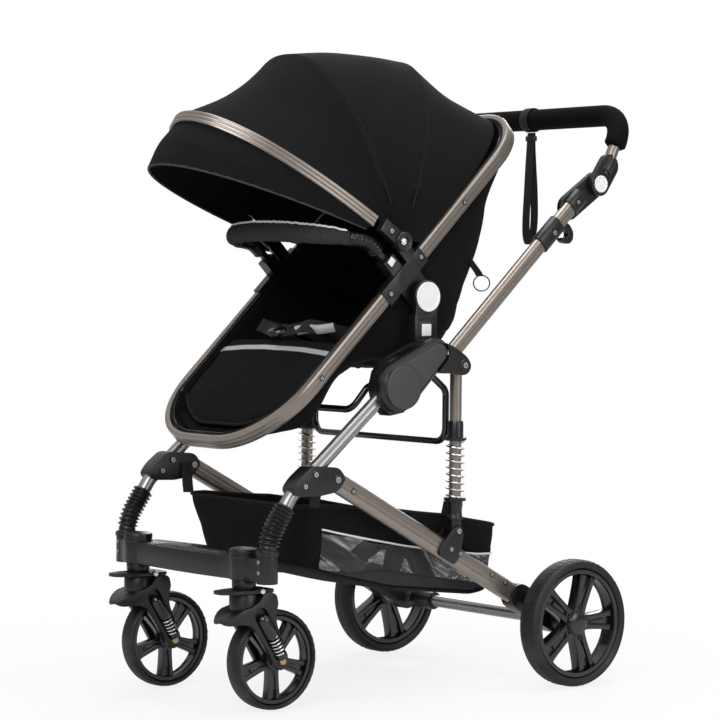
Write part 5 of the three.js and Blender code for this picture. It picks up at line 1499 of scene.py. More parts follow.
def make_forks():
    """The casters' forks with a damper and a coil spring in each arm's hollow, axle bolts and lock levers."""
    low, high = (-599, 101), (-639, 166)
    lean = heading(low, high)
    way = (0, math.cos(math.radians(lean)), math.sin(math.radians(lean)))
    for word, side in SIDES.items():
        arms, hollows, fillings, bolts, coils = [], [], [], [], []
        for out in (1, -1):
            face = CASTER_X + out * (FRONT_HALF + 14)
            arms.append(plate(rounded(FORK_ARM, 5, 4), *sorted((face, face - out * 11)), 1.8))
            deep = sorted((face - out * 7.5, face + out * 4))
            hollows.append(plate(capsule(low, high, 13.6, 12), *deep))
            axis = face - out * 1.4
            fillings.append(spun([(0, 0), (11, 0), (11.8, 2), (11.8, 31), (10.6, 37), (7.4, 41.6),
                                  (3.2, 43.8), (0, 44)], at(axis, toward(low, lean, 34)), way, 28))
            fillings.append(spun([(0, -10), (9.6, -10), (10.2, -8.6), (10.2, -1), (9.4, 0), (0, 0)],
                                 at(axis, low), way, 24))
            fillings.append(rod(at(axis, toward(low, lean, -6)), at(axis, toward(low, lean, 36)), 6.4, 14))
            bolts.append(spun([(0, 5.4), (2.2, 5.2), (2.6, 4.4), (4.4, 4.4), (5.8, 3.4), (6.6, 1.2),
                               (6.6, -9), (0, -9)], (face, *FRONT_AXLE), (out, 0, 0), 32))
            coils.append((at(side * axis, toward(low, lean, 0.6)), way, 1))
        roof = plate(rounded(FORK_ROOF, 4, 4), CASTER_X - FRONT_HALF - 6, CASTER_X + FRONT_HALF + 6, 0.8)
        collar = spun([(0, 166), (24, 166), (24.6, 168), (24.6, 200.4), (23.4, 202.6), (0, 202.6)],
                      (CASTER_X, CASTER_Y, 0), (0, 0, 1), 48)
        neck = spun([(0, 202), (19.4, 202), (19.4, 212), (20.4, 214), (20.4, 224), (19.4, 225.6), (0, 225.6)],
                    (CASTER_X, CASTER_Y, 0), (0, 0, 1), 44)
        both_arms = merged(*[carved(arm, hollow) for arm, hollow in zip(arms, hollows)])
        guard = merged(both_arms, roof)
        for v in guard.verts:
            ahead = max(0.0, -676 - v.y)
            v.x = CASTER_X + (v.x - CASTER_X) * (1 - (ahead / 34) ** 2 * 0.75)
            v.z -= ahead * 0.28
        body = merged(guard, collar, neck).on(side)
        body.piece(f"fork_body_{word}", "plastic", f"caster_{word}", f"fork_{word}")
        merged(*fillings).on(side).piece(f"fork_dampers_{word}", "gloss", f"caster_{word}")
        merged(*bolts).on(side).piece(f"fork_bolts_{word}", "brass", f"caster_{word}")
        spring_tree(5, 9.6, 32, 1.4).grow(f"fork_coils_{word}", marks(coils), f"caster_{word}")
        skin(f"lock_lever_{word}", f"lock_tab_{word}", "plastic", f"lever_{word}", 1.0)
        for out in (1, -1):
            rivet = spun([(0, 1.4), (1.6, 1.2), (2.2, 2.2), (4.2, 2.0), (5, 0.8), (5, -6), (0, -6)],
                         (CASTER_X + out * 26.6, -634, 206.2), (out, 0, 0), 24)
            name = f"lever_rivet_{word}_{'outer' if out > 0 else 'inner'}"
            rivet.on(side).piece(name, "chrome", f"lever_{word}")


def make_brake():
    """The axle's end housings, the brake pedal and the ribs on it."""
    skin("rear_axle", "axle_housing", "plastic", "rear_frame", 1.4)
    skin("brake_pedal", "pedal_moulding", "plastic", "pedal", 1.2)
    ribs = [block(-166 + 11 * k, -161 + 11 * k, 24, 62, 107.6, 109.4, 0.5) for k in range(4)]
    merged(*ribs).piece("pedal_ribs", "rubber", "pedal")


# ------------------------------------------------------------------ screws
def make_screws():
    """Every screw, rivet and its collar, grown on points by Geometry Nodes."""
    sets = {
        "front_frame": [(227, (-556, 401), 4.6), (227, (-578, 382), 4.2), (227.2, REAR_PIVOT, 5.4)],
        "rear_frame": [(220.2, (-154, 207), 3.6), (220.2, (-122, 191), 3.6), (225.2, STRUT_FOOT, 4.8),
                       (225.2, (-254, 258), 3.6), (225.2, (-233, 249), 3.6), (220.2, (-470, 368.5), 3.4)],
        "handle": [(COVER_OUT - 1.0, EAR_SCREW, 5.2), (244.4, toward(TUBE_TOP, TUBE_SLOPE, -4), 4.2)],
        "grip": [(COVER_OUT, toward(GRIP_PIVOT, heading(GRIP_BEND, GRIP_TOP) - 8, 36), 4.2)],
        "seat": [(186.6, on_seat(-44, 0), 3.8), (186.6, on_seat(49, 0), 3.8), (184.4, on_seat(190, 0), 3.2),
                 (184.4, on_seat(-250, 0), 3.2)],
        "hood_top": [(197.2, toward(HOOD_PIVOT, BOW_ANGLE, 33), 4.2)],
    }
    for body, screws in sets.items():
        for word, side in SIDES.items():
            spots = [((side * x, *p), (side, 0, 0), r) for x, p, r in screws]
            if body == "front_frame":
                spots += [((side * LEG_X, LEG_FOOT[0] - 18.2, z), (0, -1, 0), 3.4) for z in (259, 241)]
                spots += [((side * 193, *p), (-side, 0, 0), r) for x, p, r in screws]
            screw_tree().grow(f"{body}_screws_{word}", marks(spots), body)
            rings = [((side * (x + 0.2), *p), (side, 0, 0), r * 1.35) for x, p, r in screws]
            ring_tree().grow(f"{body}_collars_{word}", marks(rings), body)


# ------------------------------------------------------------------ hood
BOW_HALF, BOW_TOP, BOW_POWER, BOW_THICK, BOW_WIDTH = 184, 385, 2.05, 7, 22
REAR_SEAM = (68, 192, 352, 2.2)
FRONT_SEAM = (108.5, 189, 344, 2.3)
VISOR_EDGE = (161.5, 174, 398, 2.1)
UNDER_BOW = BOW_THICK / 2 + 0.8
HOOD_T = 32.7
HOOD_STEPS, HOOD_ROWS = 30, 84


def signed(value, power):
    """A power that keeps its value's sign."""
    return math.copysign(abs(value) ** power, value)


def arch(angle, half, top, power, shift=0.0):
    """A hood edge about the hood pivot: place(s, inset) for s from 0 on the left to 1 on the right."""
    def place(s, within=0.0, low=0.05):
        turn = math.pi * (low + (1 - 2 * low) * s)
        reach = math.sin(turn) ** (2 / power) * (top - within)
        side = toward(toward(HOOD_PIVOT, angle, reach), angle - 90, shift * min(1, reach / 60))
        drawn = half - within - (half - 174) * math.exp(-(min(turn, math.pi - turn) / 0.17) ** 2)
        return at(signed(math.cos(turn), 2 / power) * (drawn if low < 0.05 else half - within), side)
    return place


def seat_arch(s, within=0.0, low=0.05):
    """The hood's rear edge, in front of the seat frame's bars."""
    turn = math.pi * (low + (1 - 2 * low) * s)
    up = math.sin(turn) ** (2 / 3.4) * (SEAT_HALF - 6 - HOOD_T - within)
    x = signed(math.cos(turn), 2 / 3.4) * (SEAT_X - 1 - within)
    return at(x, on_seat(HOOD_T + up, SEAT_DEPTH / 2 + 0.8))


def hood_point(edges, dip, seed, u, v):
    """A place on a hood panel: u runs from its rear edge to its front one, v left to right."""
    near = 1 - math.sin(math.pi * v)
    crown = math.sin(math.pi * u) * math.sin(math.pi * v)
    slack = 2.2 * noise.noise(Vector((u * 3.0, v * 9.0, seed))) * crown
    fan = 1.5 * near ** 3 * math.sin(math.tau * (2.6 * u + 0.2 * noise.noise(Vector((v * 6, seed, 0)))))
    wander = 3 * noise.noise(Vector((v * 20, seed, 2)))
    gather = 0.5 * math.exp(-min(u, 1 - u) * 22) * math.sin(v * 260 + wander)
    held = math.sin(math.pi * min(1, v * 8, (1 - v) * 8) / 2)
    within = dip * crown + slack + fan * math.sin(math.pi * u) + gather * held
    rear, front = (edge(v, within, 0.006) for edge in edges)
    return rear.lerp(front, u)


def area_of(form):
    """Half of a thin form's surface, in square metres."""
    whole = 0.0
    for f in form.faces:
        a = form.verts[f[0]]
        for i in range(1, len(f) - 1):
            whole += (form.verts[f[i]] - a).cross(form.verts[f[i + 1]] - a).length / 2
    return whole / 2 * MM * MM


def declare_sheet(obj, form, rests_on):
    """Works out a thin form's area as cloth; nothing further is done with it."""
    area = area_of(form)


def stitches(path, name, body, pitch=4.2, length=2.7):
    """A row of stitches along a path, made on it by Geometry Nodes."""
    return stitch_tree("stitch", pitch, length, 0.36).grow(name, line_mesh(path), body)


def make_hood():
    """The hood: three domed panels between their hoops, the bow, the visor and its bindings."""
    rear, front = arch(*REAR_SEAM), arch(*FRONT_SEAM)
    bow_back = arch(BOW_ANGLE, BOW_HALF - UNDER_BOW, BOW_TOP - UNDER_BOW, BOW_POWER, BOW_WIDTH / 2 - 1)
    bow_front = arch(BOW_ANGLE, BOW_HALF - UNDER_BOW, BOW_TOP - UNDER_BOW, BOW_POWER, -BOW_WIDTH / 2 + 1)
    visor = arch(*VISOR_EDGE)
    panels = [
        ("hood_rear", (seat_arch, rear), 8, 1.0, ("seat", "hood_back"), "seat_frame_bar"),
        ("hood_middle", (rear, front), -8, 2.0, ("hood_back", "hood_centre"), "seat_frame_bar"),
        ("hood_front", (front, bow_back), 15, 3.0, ("hood_centre", "hood_top"), "hood_bow_band"),
    ]
    for node, edges, dip, seed, bodies, rests_on in panels:
        form = sheet_form(lambda u, v: hood_point(edges, dip, seed, u, v), HOOD_STEPS, HOOD_ROWS, 1.8)
        obj = form.piece(f"{node}_panel", "canopy", node=node, sharp=60)
        declare_sheet(obj, form, rests_on)
        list(bodies)
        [metres(edge(0.5)) for edge in edges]
        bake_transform(obj)
    band = sweep([arch(BOW_ANGLE, BOW_HALF, BOW_TOP, BOW_POWER)(k / 90) for k in range(91)],
                 bar_section(BOW_WIDTH, BOW_THICK, 2.2, 0.6),
                 (0, math.cos(math.radians(BOW_ANGLE - 90)), math.sin(math.radians(BOW_ANGLE - 90))))
    band.piece("hood_bow_band", "champagne", "hood_top", "hood_bow")

    def visor_point(u, v):
        """A place on the visor: first a short way under the bow, then out to its own edge."""
        under, rows_under = 0.13, 0.16
        if u < rows_under:
            t = under * u / rows_under
        else:
            t = under + (1 - under) * (u - rows_under) / (1 - rows_under)
        spread = 0 if t < under else (t - under) / (1 - under)
        first, second, share = (bow_back, bow_front, t / under) if t < under else (bow_front, visor, spread)
        crown = math.sin(math.pi * spread) * math.sin(math.pi * v)
        slack = 1.4 * noise.noise(Vector((u * 3, v * 8, 5))) * crown
        wander = 4 * noise.noise(Vector((v * 18, 7, 2)))
        gather = 0.5 * math.exp(-abs(1 - spread) * 14) * math.sin(v * 210 + wander)
        within = -5 * crown + slack + gather * math.sin(math.pi * v) ** 0.5
        return first(v, within).lerp(second(v, within), share)

    form = sheet_form(visor_point, HOOD_STEPS, HOOD_ROWS, 2.0)
    declare_sheet(form.piece("hood_visor", "canopy", "hood_top", sharp=60), form, "hood_bow_band")
    line = [visor(k / 120) for k in range(121)]
    edge = sweep(line, circle(2.3, 10), (0, math.cos(math.radians(VISOR_EDGE[0] - 90)),
                                         math.sin(math.radians(VISOR_EDGE[0] - 90))))
    edge.piece("visor_binding", "binding", "hood_top")
    for place, name, body in ((rear, "hood_rear_piping", "hood_back"),
                              (front, "hood_front_piping", "hood_centre")):
        path = [place(k / 110, -0.6) for k in range(111)]
        tube = sweep(path, circle(1.5, 8), (0, 1, 0.4))
        tube.piece(name, "dark_binding", body)
    for place, name, body, shift in ((REAR_SEAM, "rear", "hood_back", 5),
                                     (REAR_SEAM, "rear_two", "hood_back", -5),
                                     (FRONT_SEAM, "front", "hood_centre", 5),
                                     (FRONT_SEAM, "front_two", "hood_centre", -5)):
        path = [arch(*place, shift)(k / 160, -0.25) for k in range(6, 155)]
        stitches(path, f"hood_stitches_{name}", body)
    path = [arch(VISOR_EDGE[0], VISOR_EDGE[1], VISOR_EDGE[2] - 0.2, VISOR_EDGE[3], 8)(k / 160, -0.2)
            for k in range(4, 157)]
    stitches(path, "visor_stitches", "hood_top")
    rear = [seat_arch(k / 100, 3.5) + SEAT_NORMAL * 1.6 for k in range(101)]
    trim = sweep(rear, circle(3.4, 12), SEAT_NORMAL)
    trim.piece("hood_rear_trim", "gloss", "seat")
    for word, side in SIDES.items():
        strip = [beside(HOOD_PIVOT, BOW_ANGLE, d, off) for d, off in ((0, -13), (53, -12), (53, 12), (0, 13))]
        arm = plate(strip, 186.1, 197, 1.6, 3)
        shoe = plate(strip, 180.7, 187.7, 1.0)
        knob = spun([(8.2, -4), (8.2, 2.0), (9.4, 3.2), (11, 3.0), (12, 2.2), (13.6, 2.4), (15.4, 3.0),
                     (16.6, 1.8), (16.8, -2), (16.8, -9), (8.2, -9)], (198, *HOOD_PIVOT), sides=52)
        merged(arm, shoe, knob).on(side).piece(f"hood_arm_{word}", "plastic", "hood_top")
        stud = spun([(0, 2.6), (2.6, 2.4), (5.4, 1.4), (7.4, 0), (8.0, -1.4), (8.0, -8), (0, -8)],
                    (198.4, *HOOD_PIVOT), sides=36)
        stud.on(side).piece(f"hood_stud_{word}", "chrome", "hood_top")


# ------------------------------------------------------------------ seat
LINER = [(-34, 1008), (-64, 950), (-104, 868), (-112, 800), (-150, 693), (-172, 638), (-215, 597),
         (-300, 580), (-375, 579), (-425, 561), (-455, 540), (-482, 498), (-510, 470), (-560, 458),
         (-598, 452)]


def seat_spine():
    """The liner's outer line as (t along the frame, depth behind it), from top to bottom."""
    turn = math.radians(SEAT_TILT)
    out = []
    for p in smooth([Vector((0, *q)) for q in LINER], 6):
        dy, dz = p.y - SEAT_MIDDLE[0], p.z - SEAT_MIDDLE[1]
        t = dy * math.cos(turn) + dz * math.sin(turn)
        out.append((t, dy * math.sin(turn) - dz * math.cos(turn)))
    return out


SPINE = seat_spine()


def inside_half(t):
    """Half the space between the seat frame's bars at a place along it."""
    full = SEAT_X - SEAT_BAR / 2 - 0.5
    top, low = SEAT_HALF - SEAT_TOP_CORNER, -SEAT_HALF + SEAT_BOTTOM_CORNER
    if t > top:
        r = SEAT_TOP_CORNER - SEAT_BAR / 2
        return full - r + math.sqrt(max(r * r - (t - top) ** 2, 16.0))
    if t < low:
        r = SEAT_BOTTOM_CORNER - SEAT_BAR / 2
        return full - r + math.sqrt(max(r * r - (low - t) ** 2, 16.0))
    return full


def shell_point(k, v, lift=0.0):
    """The hammock's outer face: k runs along the spine from 0 at the top to 1, v from left to right."""
    i = min(int(k * (len(SPINE) - 1)), len(SPINE) - 2)
    share = k * (len(SPINE) - 1) - i
    t, depth = (lerp(a, b, share) for a, b in zip(SPINE[i], SPINE[i + 1]))
    half = inside_half(t)
    squeeze = 1 - min(max(depth / 150, 0), 1) * (1 - 150 / 171.5)
    power = lerp(2.4, 7, min(max(depth / 120, 0), 1))
    turn = math.pi * v
    wide, deep = abs(math.cos(turn)) ** (2 / power), math.sin(turn) ** (2 / power)
    reach = lerp(half, half * squeeze, deep ** 1.5)
    x = math.copysign(wide, math.cos(turn)) * (reach - lift)
    n = 3 - (depth + 3 - lift) * deep
    return Vector((x, *on_seat(t, n)))


def fold_noise(p, size, seed):
    """Soft cloth folds at a place."""
    return noise.noise(Vector((p.x / size + seed, p.y / size, p.z / size)))


def make_shell():
    """The seat's hammock with its rim tape, zip and side gathers."""
    def point(k, v):
        p = shell_point(k, v)
        middle = Vector((0, *on_seat(0, -30)))
        way = (p - middle).normalized()
        edge = min(1.0, 8 * min(v, 1 - v))
        sag = 2.2 * fold_noise(p, 60, 1) + 1.1 * fold_noise(p, 22, 4)
        crease = 1.3 * max(0.0, math.sin(p.z / 9 + 2 * fold_noise(p, 40, 9))) ** 3
        crease *= max(0, math.sin(math.pi * v) - 0.2)
        return p + way * ((sag - crease) * edge - 2.6 * edge)

    form = sheet_form(point, 84, 56, 2.4)
    declare_sheet(form.piece("seat_hammock", "seat", "seat", "seat_liner", sharp=60), form, "seat_frame_bar")
    ring = seat_ring(SEAT_X - 8.6, SEAT_HALF - 8.6, SEAT_TOP_CORNER - 8.6, SEAT_BOTTOM_CORNER - 8.6, 5, 20)
    tape = sweep(ring, [(-6, -1), (-5, 1.4), (5, 1.4), (6, -1)], SEAT_NORMAL, closed=True)
    tape.piece("seat_rim_tape", "dark_binding", "seat")
    inner = seat_ring(SEAT_X - 12.5, SEAT_HALF - 12.5, SEAT_TOP_CORNER - 12.5, SEAT_BOTTOM_CORNER - 12.5, 9.5,
                      20)
    zip_line = dense([*inner, inner[0]], 2.4)
    stitch_tree("gloss", 2.4, 1.5, 1.3).grow("seat_zip_teeth", line_mesh(zip_line), "seat")


def pad_form(k0, k1, v0, v1, lift, thick, columns, rows):
    """A closed pad lying on the hammock between places along and across it."""
    def ease(a):
        return (1 - abs(2 * a - 1) ** 5) ** 0.5

    def layer(height):
        return [shell_point(lerp(k0, k1, i / columns), lerp(v0, v1, j / rows),
                            lift + height * ease(i / columns) * ease(j / rows))
                for i in range(columns + 1) for j in range(rows + 1)]

    return layered(layer(0), layer(thick), columns, rows)


CELL, PRESSURE = 5.0, 4.0  # of the cloth simulation, in millimetres and in its own unit


def swollen(form, name, finish, cap):
    """A pad filled by cloth simulation: remeshed, blown up, capped and smoothed."""
    obj = form.solid(name, finish, sharp=0)
    data = obj.data
    modifier = obj.modifiers.new("Cells", "REMESH")
    modifier.mode = "VOXEL"
    modifier.voxel_size = CELL * MM
    applied(obj)
    rest = np.empty(len(obj.data.vertices) * 3)
    obj.data.vertices.foreach_get("co", rest)
    rest = rest.reshape(-1, 3)
    scene = bpy.context.scene
    cloth = obj.modifiers.new("Filling", "CLOTH")
    cloth.settings.quality = 5
    cloth.settings.mass = 0.3
    cloth.settings.tension_stiffness = cloth.settings.compression_stiffness = 12
    cloth.settings.bending_stiffness = 0.6
    cloth.settings.use_pressure = True
    cloth.settings.uniform_pressure_force = PRESSURE
    cloth.settings.effector_weights.gravity = 0
    cloth.point_cache.frame_start, cloth.point_cache.frame_end = 1, 20
    for step in range(1, 21):
        scene.frame_set(step)
    applied(obj)
    scene.frame_set(1)
    blown = np.empty(len(obj.data.vertices) * 3)
    obj.data.vertices.foreach_get("co", blown)
    blown = blown.reshape(-1, 3)
    move = blown - rest
    far = np.linalg.norm(move, axis=1, keepdims=True)
    move *= np.minimum(1.0, cap * MM / np.maximum(far, 1e-9))
    obj.data.vertices.foreach_set("co", (rest + move).ravel())
    smoothing = obj.modifiers.new("Smoothing", "SUBSURF")
    smoothing.levels = smoothing.render_levels = 1
    applied(obj)
    obj.data.materials.clear()
    obj.data.materials.append(look(finish))
    obj.data.polygons.foreach_set("use_smooth", [True] * len(obj.data.polygons))
    if data.users == 0:
        bpy.data.meshes.remove(data)
    return obj


def pressed(obj, push):
    """Sews channels into a pad: push(point) gives the way and the distance that a point is drawn in."""
    for v in obj.data.vertices:
        v.co += push(millimetres(v.co)) * MM
    obj.data.update()


def along_seat(p):
    """A place's distance along the seat frame and in front of it."""
    turn = math.radians(SEAT_TILT)
    dy, dz = p.y - SEAT_MIDDLE[0], p.z - SEAT_MIDDLE[1]
    return dy * math.cos(turn) + dz * math.sin(turn), dz * math.cos(turn) - dy * math.sin(turn)


def channel(distance, width, depth):
    """The depth of a sewn channel at a distance from its line."""
    return depth * math.exp(-(distance / width) ** 2)


def make_pads():
    """The padded back and base, filled by simulation and then sewn."""
    back = swollen(pad_form(0.05, 0.385, 0.22, 0.78, 3.5, 11, 30, 26), "seat_back_pad", "pad", 8)

    def sew_back(p):
        t, _ = along_seat(p)
        deep = sum(channel(t - line, 5, 4.2) for line in (150, 215, 280))
        deep += channel(abs(p.x) - 62, 4.5, 3.4)
        wrinkle = 0.9 * fold_noise(p, 18, 3)
        return SEAT_NORMAL * (-deep + wrinkle) * 0.6

    pressed(back, sew_back)
    settled(back, "pad", "seat")
    base = swollen(pad_form(0.41, 0.655, 0.2, 0.8, 3.5, 12, 26, 28), "seat_base_pad", "pad", 8)

    def sew_base(p):
        deep = channel(p.y + 250, 5, 3.4) + channel(p.y + 330, 5, 3.4) + channel(abs(p.x) - 55, 4.5, 2.8)
        return Vector((0, 0, -deep + 0.8 * fold_noise(p, 16, 5))) * 0.7

    pressed(base, sew_base)
    settled(base, "pad", "seat")


CALF_TOP, CALF_LOW = -148, -366


def calf_point(t, x, n=0.0):
    """A place on the calf panel, which hangs between the frame's lower bars; x from -1 to 1."""
    half = inside_half(t) - 5
    crown = math.cos(math.pi / 2 * x)
    flush = -7 + 9 * crown * (1 if t > -300 else max(0.3, 1 + (t + 300) / 60))
    share = min(max((-t - 150) / 24, 0), 1)
    drop = lerp(-17 - 15 * crown, flush, share * share * (3 - 2 * share)) + n
    corner = 0 if t > -300 else (t + 300) * 0.02
    return Vector((half * x, *on_seat(t, drop + corner)))


def make_calf():
    """The calf panel with its reflective strip, gathered lower hem, quilting, and the pocket below it."""
    steps, across = 46, 40

    def edge(x):
        """The panel's lower line, which rounds up to the sides."""
        return CALF_LOW + 62 * max(0.0, abs(x) - 0.35) ** 2 / 0.42

    def crown(a, x):
        return (1 - abs(2 * a - 1) ** 6) ** 0.5 * (1 - abs(x) ** 8) ** 0.5

    def soft(a, x):
        return 1.6 * noise.noise(Vector((a * 5, x * 3, 8)))

    def face(a, x):
        pucker = 1.5 * math.exp(-(1 - a) * 16) * math.sin(x * 46 + 3 * noise.noise(Vector((x * 5, 0, 3))))
        return calf_point(lerp(CALF_TOP, edge(x), a), x, 10 * crown(a, x) + pucker + soft(a, x))

    spots = [(i / steps, 2 * j / across - 1) for i in range(steps + 1) for j in range(across + 1)]
    back = [calf_point(lerp(CALF_TOP, edge(x), a), x) for a, x in spots]
    form = layered(back, [face(a, x) for a, x in spots], steps, across)
    form.piece("calf_panel", "pad", "seat", sharp=60, subdivide=1)

    def surface(t, x, rise):
        a = (t - CALF_TOP) / (edge(x) - CALF_TOP)
        return calf_point(t, x, 10 * crown(a, x) + soft(a, x) + rise)

    strip = sheet_form(lambda u, v: surface(lerp(-190, -200.5, u), lerp(-0.97, 0.97, v), 1.3), 4, 60, 1.0)
    strip.piece("calf_reflective_strip", "tape", "seat")
    for t, name in ((-188, "upper"), (-202.5, "lower")):
        stitches([surface(t, lerp(-0.95, 0.95, k / 80), 1.1) for k in range(81)], f"calf_stitches_{name}",
                 "seat")
    hem = sweep([calf_point(edge(lerp(-1, 1, k / 80)), lerp(-1, 1, k / 80), 2.0) for k in range(81)],
                circle(3.2, 10), (0, 0.7, 0.7))
    hem.piece("calf_hem", "dark_binding", "seat")

    def pocket(u, v):
        x = lerp(-0.96, 0.96, v)
        t = lerp(-318 + 20 * (1 - abs(x)),
                 -SEAT_HALF + 9 + (1 - math.sqrt(max(0, 1 - (0.93 * x) ** 2))) * 100, u)
        half = inside_half(t) - 3
        return Vector((half * x, *on_seat(t, -20 * (1 - u) ** 0.8 - 6 + 1.2 * math.sin(x * 22 + u * 4))))

    sheet_form(pocket, 22, 50, 1.6).piece("calf_pocket", "lining", "seat", sharp=60)


def strap_section(w, t, edge):
    """A flat strap's section from its half width and thickness; edge is its sides' share of the thickness."""
    return [(-w, -t * edge), (-w, t * edge), (-w + t, t), (w - t, t), (w, t * edge), (w, -t * edge),
            (w - t, -t), (-w + t, -t)]


def ribbon(path, width, thick, side, name, finish, body):
    """A flat strap along a path; side is the way across it."""
    return sweep(path, strap_section(width / 2, thick / 2, 0.6), side).piece(name, finish, body, sharp=40)


def make_harness():
    """The five-point harness with its buckle, the mesh strap and the backrest's own strap and ring."""
    def lying(k, x, lift):
        spot = shell_point(k, 0.5, lift)
        return Vector((x, spot.y, spot.z))

    buckle = at(0, on_seat(-164, 23))
    for word, side in SIDES.items():
        shoulder = smooth([lying(0.14, side * 52, 24), lying(0.2, side * 52, 26), lying(0.28, side * 50, 28),
                           lying(0.36, side * 42, 32), lying(0.42, side * 30, 46),
                           buckle + Vector((side * 20, 30, 10)), buckle + Vector((side * 14, 6, 2))], 8)
        ribbon(shoulder, 25, 1.8, (1, 0, 0), f"harness_shoulder_{word}", "web", "seat")
        places = (0.15, side * 52, 27), (0.22, side * 51, 29), (0.31, side * 47, 31)
        guard = smooth([lying(*place) for place in places], 10)
        pad = sweep(guard, ellipse(22, 5, 24), scale=lambda t: 1 - 0.35 * abs(2 * t - 1) ** 8)
        pad.piece(f"harness_pad_{word}", "pad", "seat", sharp=60)
        waist = smooth([lying(0.43, side * 118, 22), lying(0.47, side * 104, 38),
                        buckle + Vector((side * 76, 24, 8)), buckle + Vector((side * 40, 8, 4)),
                        buckle + Vector((side * 14, 2, 0))], 8)
        ribbon(waist, 25, 1.8, (0, 0.6, 0.8), f"harness_waist_{word}", "web", "seat")
    crotch = smooth([lying(0.5, 0, 12), lying(0.52, 0, 28), buckle + Vector((0, 20, 0)),
                     buckle + Vector((0, 4, 0))], 8)
    ribbon(crotch, 30, 2, (1, 0, 0), "harness_crotch", "web", "seat")
    spot = buckle
    way = (0, -0.25, 0.97)
    hub = spun([(0, 7), (12, 6.6), (17, 5), (19.5, 2), (20, -3), (18, -6), (0, -6)], spot, way, 40)
    eye = spun([(0, 8.2), (7.6, 8), (9, 7), (9, 5), (0, 5)], spot, way, 32)
    hub.piece("harness_buckle", "gloss", "seat")
    eye.piece("harness_buckle_button", "plastic", "seat")
    steps = (40, 9, 1), (62, 17, 5), (84, 24, 4), (108, 40, 8)
    cover = smooth([buckle + Vector(step) for step in steps], 10)
    ribbon(cover, 17, 5, (0, -0.5, 0.86), "harness_waist_cover", "tape", "seat")
    for word, side in SIDES.items():
        tail = [Vector((side * 152, *q)) for q in ((-156, 764), (-148, 756), (-138, 746), (-130, 736))]
        ribbon(smooth(tail, 8), 20, 1.6, (1, 0, 0), f"recline_strap_{word}", "web", "seat")
        ring = [Vector((side * (151 + 9 * math.cos(a)), -125 + 11.5 * math.cos(a), 723 + 14 * math.sin(a)))
                for a in [math.tau * i / 32 for i in range(32)]]
        loop = sweep(ring, circle(1.2, 8), (0.8 * side, -0.6, 0), closed=True)
        loop.piece(f"recline_ring_{word}", "gloss", "seat", slot="chrome")


# ------------------------------------------------------------------ bumper bar
BAR_CORNER, BAR_FRONT = (-402, 790), (-505, 797)
PLUG_HALF = 5.8
ARM_LENGTH = 62


def bar_way(d):
    """A place along the way the bumper bar pulls out."""
    return toward(BAR_SOCKET, BAR_ANGLE, d)


def bumper_path():
    """The bumper's middle line, from its left plug to its right one."""
    corner = bar_way(span(BAR_SOCKET, BAR_CORNER))
    left = [at(168, bar_way(24)), at(168, corner), Vector((162, -440, 797)), Vector((102, -488, 797))]
    return dense(smooth([*left, at(0, BAR_FRONT), *(mirrored(p) for p in left[::-1])], 24), 2.0)


def make_bumper():
    """The bumper bar: a gathered sleeve with piping on top, ribbed arms and their plugs."""
    path = bumper_path()
    whole = total(path)
    sleeve = cut_path(path, ARM_LENGTH, whole - ARM_LENGTH)
    count = len(sleeve)

    def girth(t):
        gather = 0.030 * math.sin(t * 190 + 5 * noise.noise(Vector((t * 14, 0, 0))))
        ends = -0.34 * math.exp(-min(t, 1 - t) * 9)
        return 1.0 + gather + 0.03 * noise.noise(Vector((t * 24, 3, 0))) + ends

    rise = [13 * max(0.0, math.sin(math.pi * k / (count - 1))) ** 0.8 for k in range(len(sleeve))]
    sleeve = [p + Vector((0, 0, up)) for p, up in zip(sleeve, rise)]
    sides = 28
    form = sweep(sleeve, ellipse(17.2, 13.4, sides), (0, 0.1, 1), scale=girth)
    for i, v in enumerate(form.verts):
        ring, turn = divmod(i, sides)
        middle = sleeve[min(ring, count - 1)]
        v += (v - middle).normalized() * 0.8 * noise.noise(Vector((ring * 0.12, turn * 0.5, 9)))
    form.piece("bumper_sleeve", "sleeve", "bumper", "bumper_bar", sharp=60)
    line = [p + Vector((0, -3, 17.4 * girth(k / (count - 1)))) for k, p in enumerate(sleeve)][3:-3]
    sweep(line, circle(2.4, 10), (0, 0.1, 1)).piece("bumper_piping", "piping", "bumper")
    stitches([p + Vector((0, 4.5, 0.1)) for p in line], "bumper_stitches", "bumper", pitch=4, length=2.4)
    for word, side in SIDES.items():
        part = cut_path(path, 2, ARM_LENGTH + 4)
        if side == RIGHT:
            part = [mirrored(p) for p in part]
        elbow = sweep(dense(part, 1.2), circle(12.4, 28), (0.1, 0.5, 1) if side == LEFT else (-0.1, 0.5, 1),
                      scale=lambda t: 1 + 0.09 * (0.5 - 0.5 * math.cos(math.tau * 9 * t)) ** 0.6)
        elbow.piece(f"bumper_elbow_{word}", "rubber", "bumper", sharp=70)
        corners = [(-11, -PLUG_HALF), (30, -PLUG_HALF), (30, PLUG_HALF), (-11, PLUG_HALF)]
        plug = plate([beside(BAR_SOCKET, BAR_ANGLE, d, off) for d, off in corners], 162.4, 173.6, 0.8)
        plug.on(side).piece(f"bumper_plug_{word}", "plastic", "bumper")


# ------------------------------------------------------------------ basket
BASKET_TOP = [(-548, 342), (-500, 345), (-350, 338), (-240, 322), (-105, 288)]
BASKET_LOW = [(-526, 236), (-470, 217), (-340, 186), (-160, 166), (-100, 172)]


def follow(points, y):
    """The height of a smooth line through points at a place along Y."""
    points = sorted(points)
    y = min(max(y, points[0][0]), points[-1][0])
    for a, b in zip(points, points[1:]):
        if y <= b[0]:
            t = (y - a[0]) / (b[0] - a[0])
            return lerp(a[1], b[1], t)
    return points[-1][1]


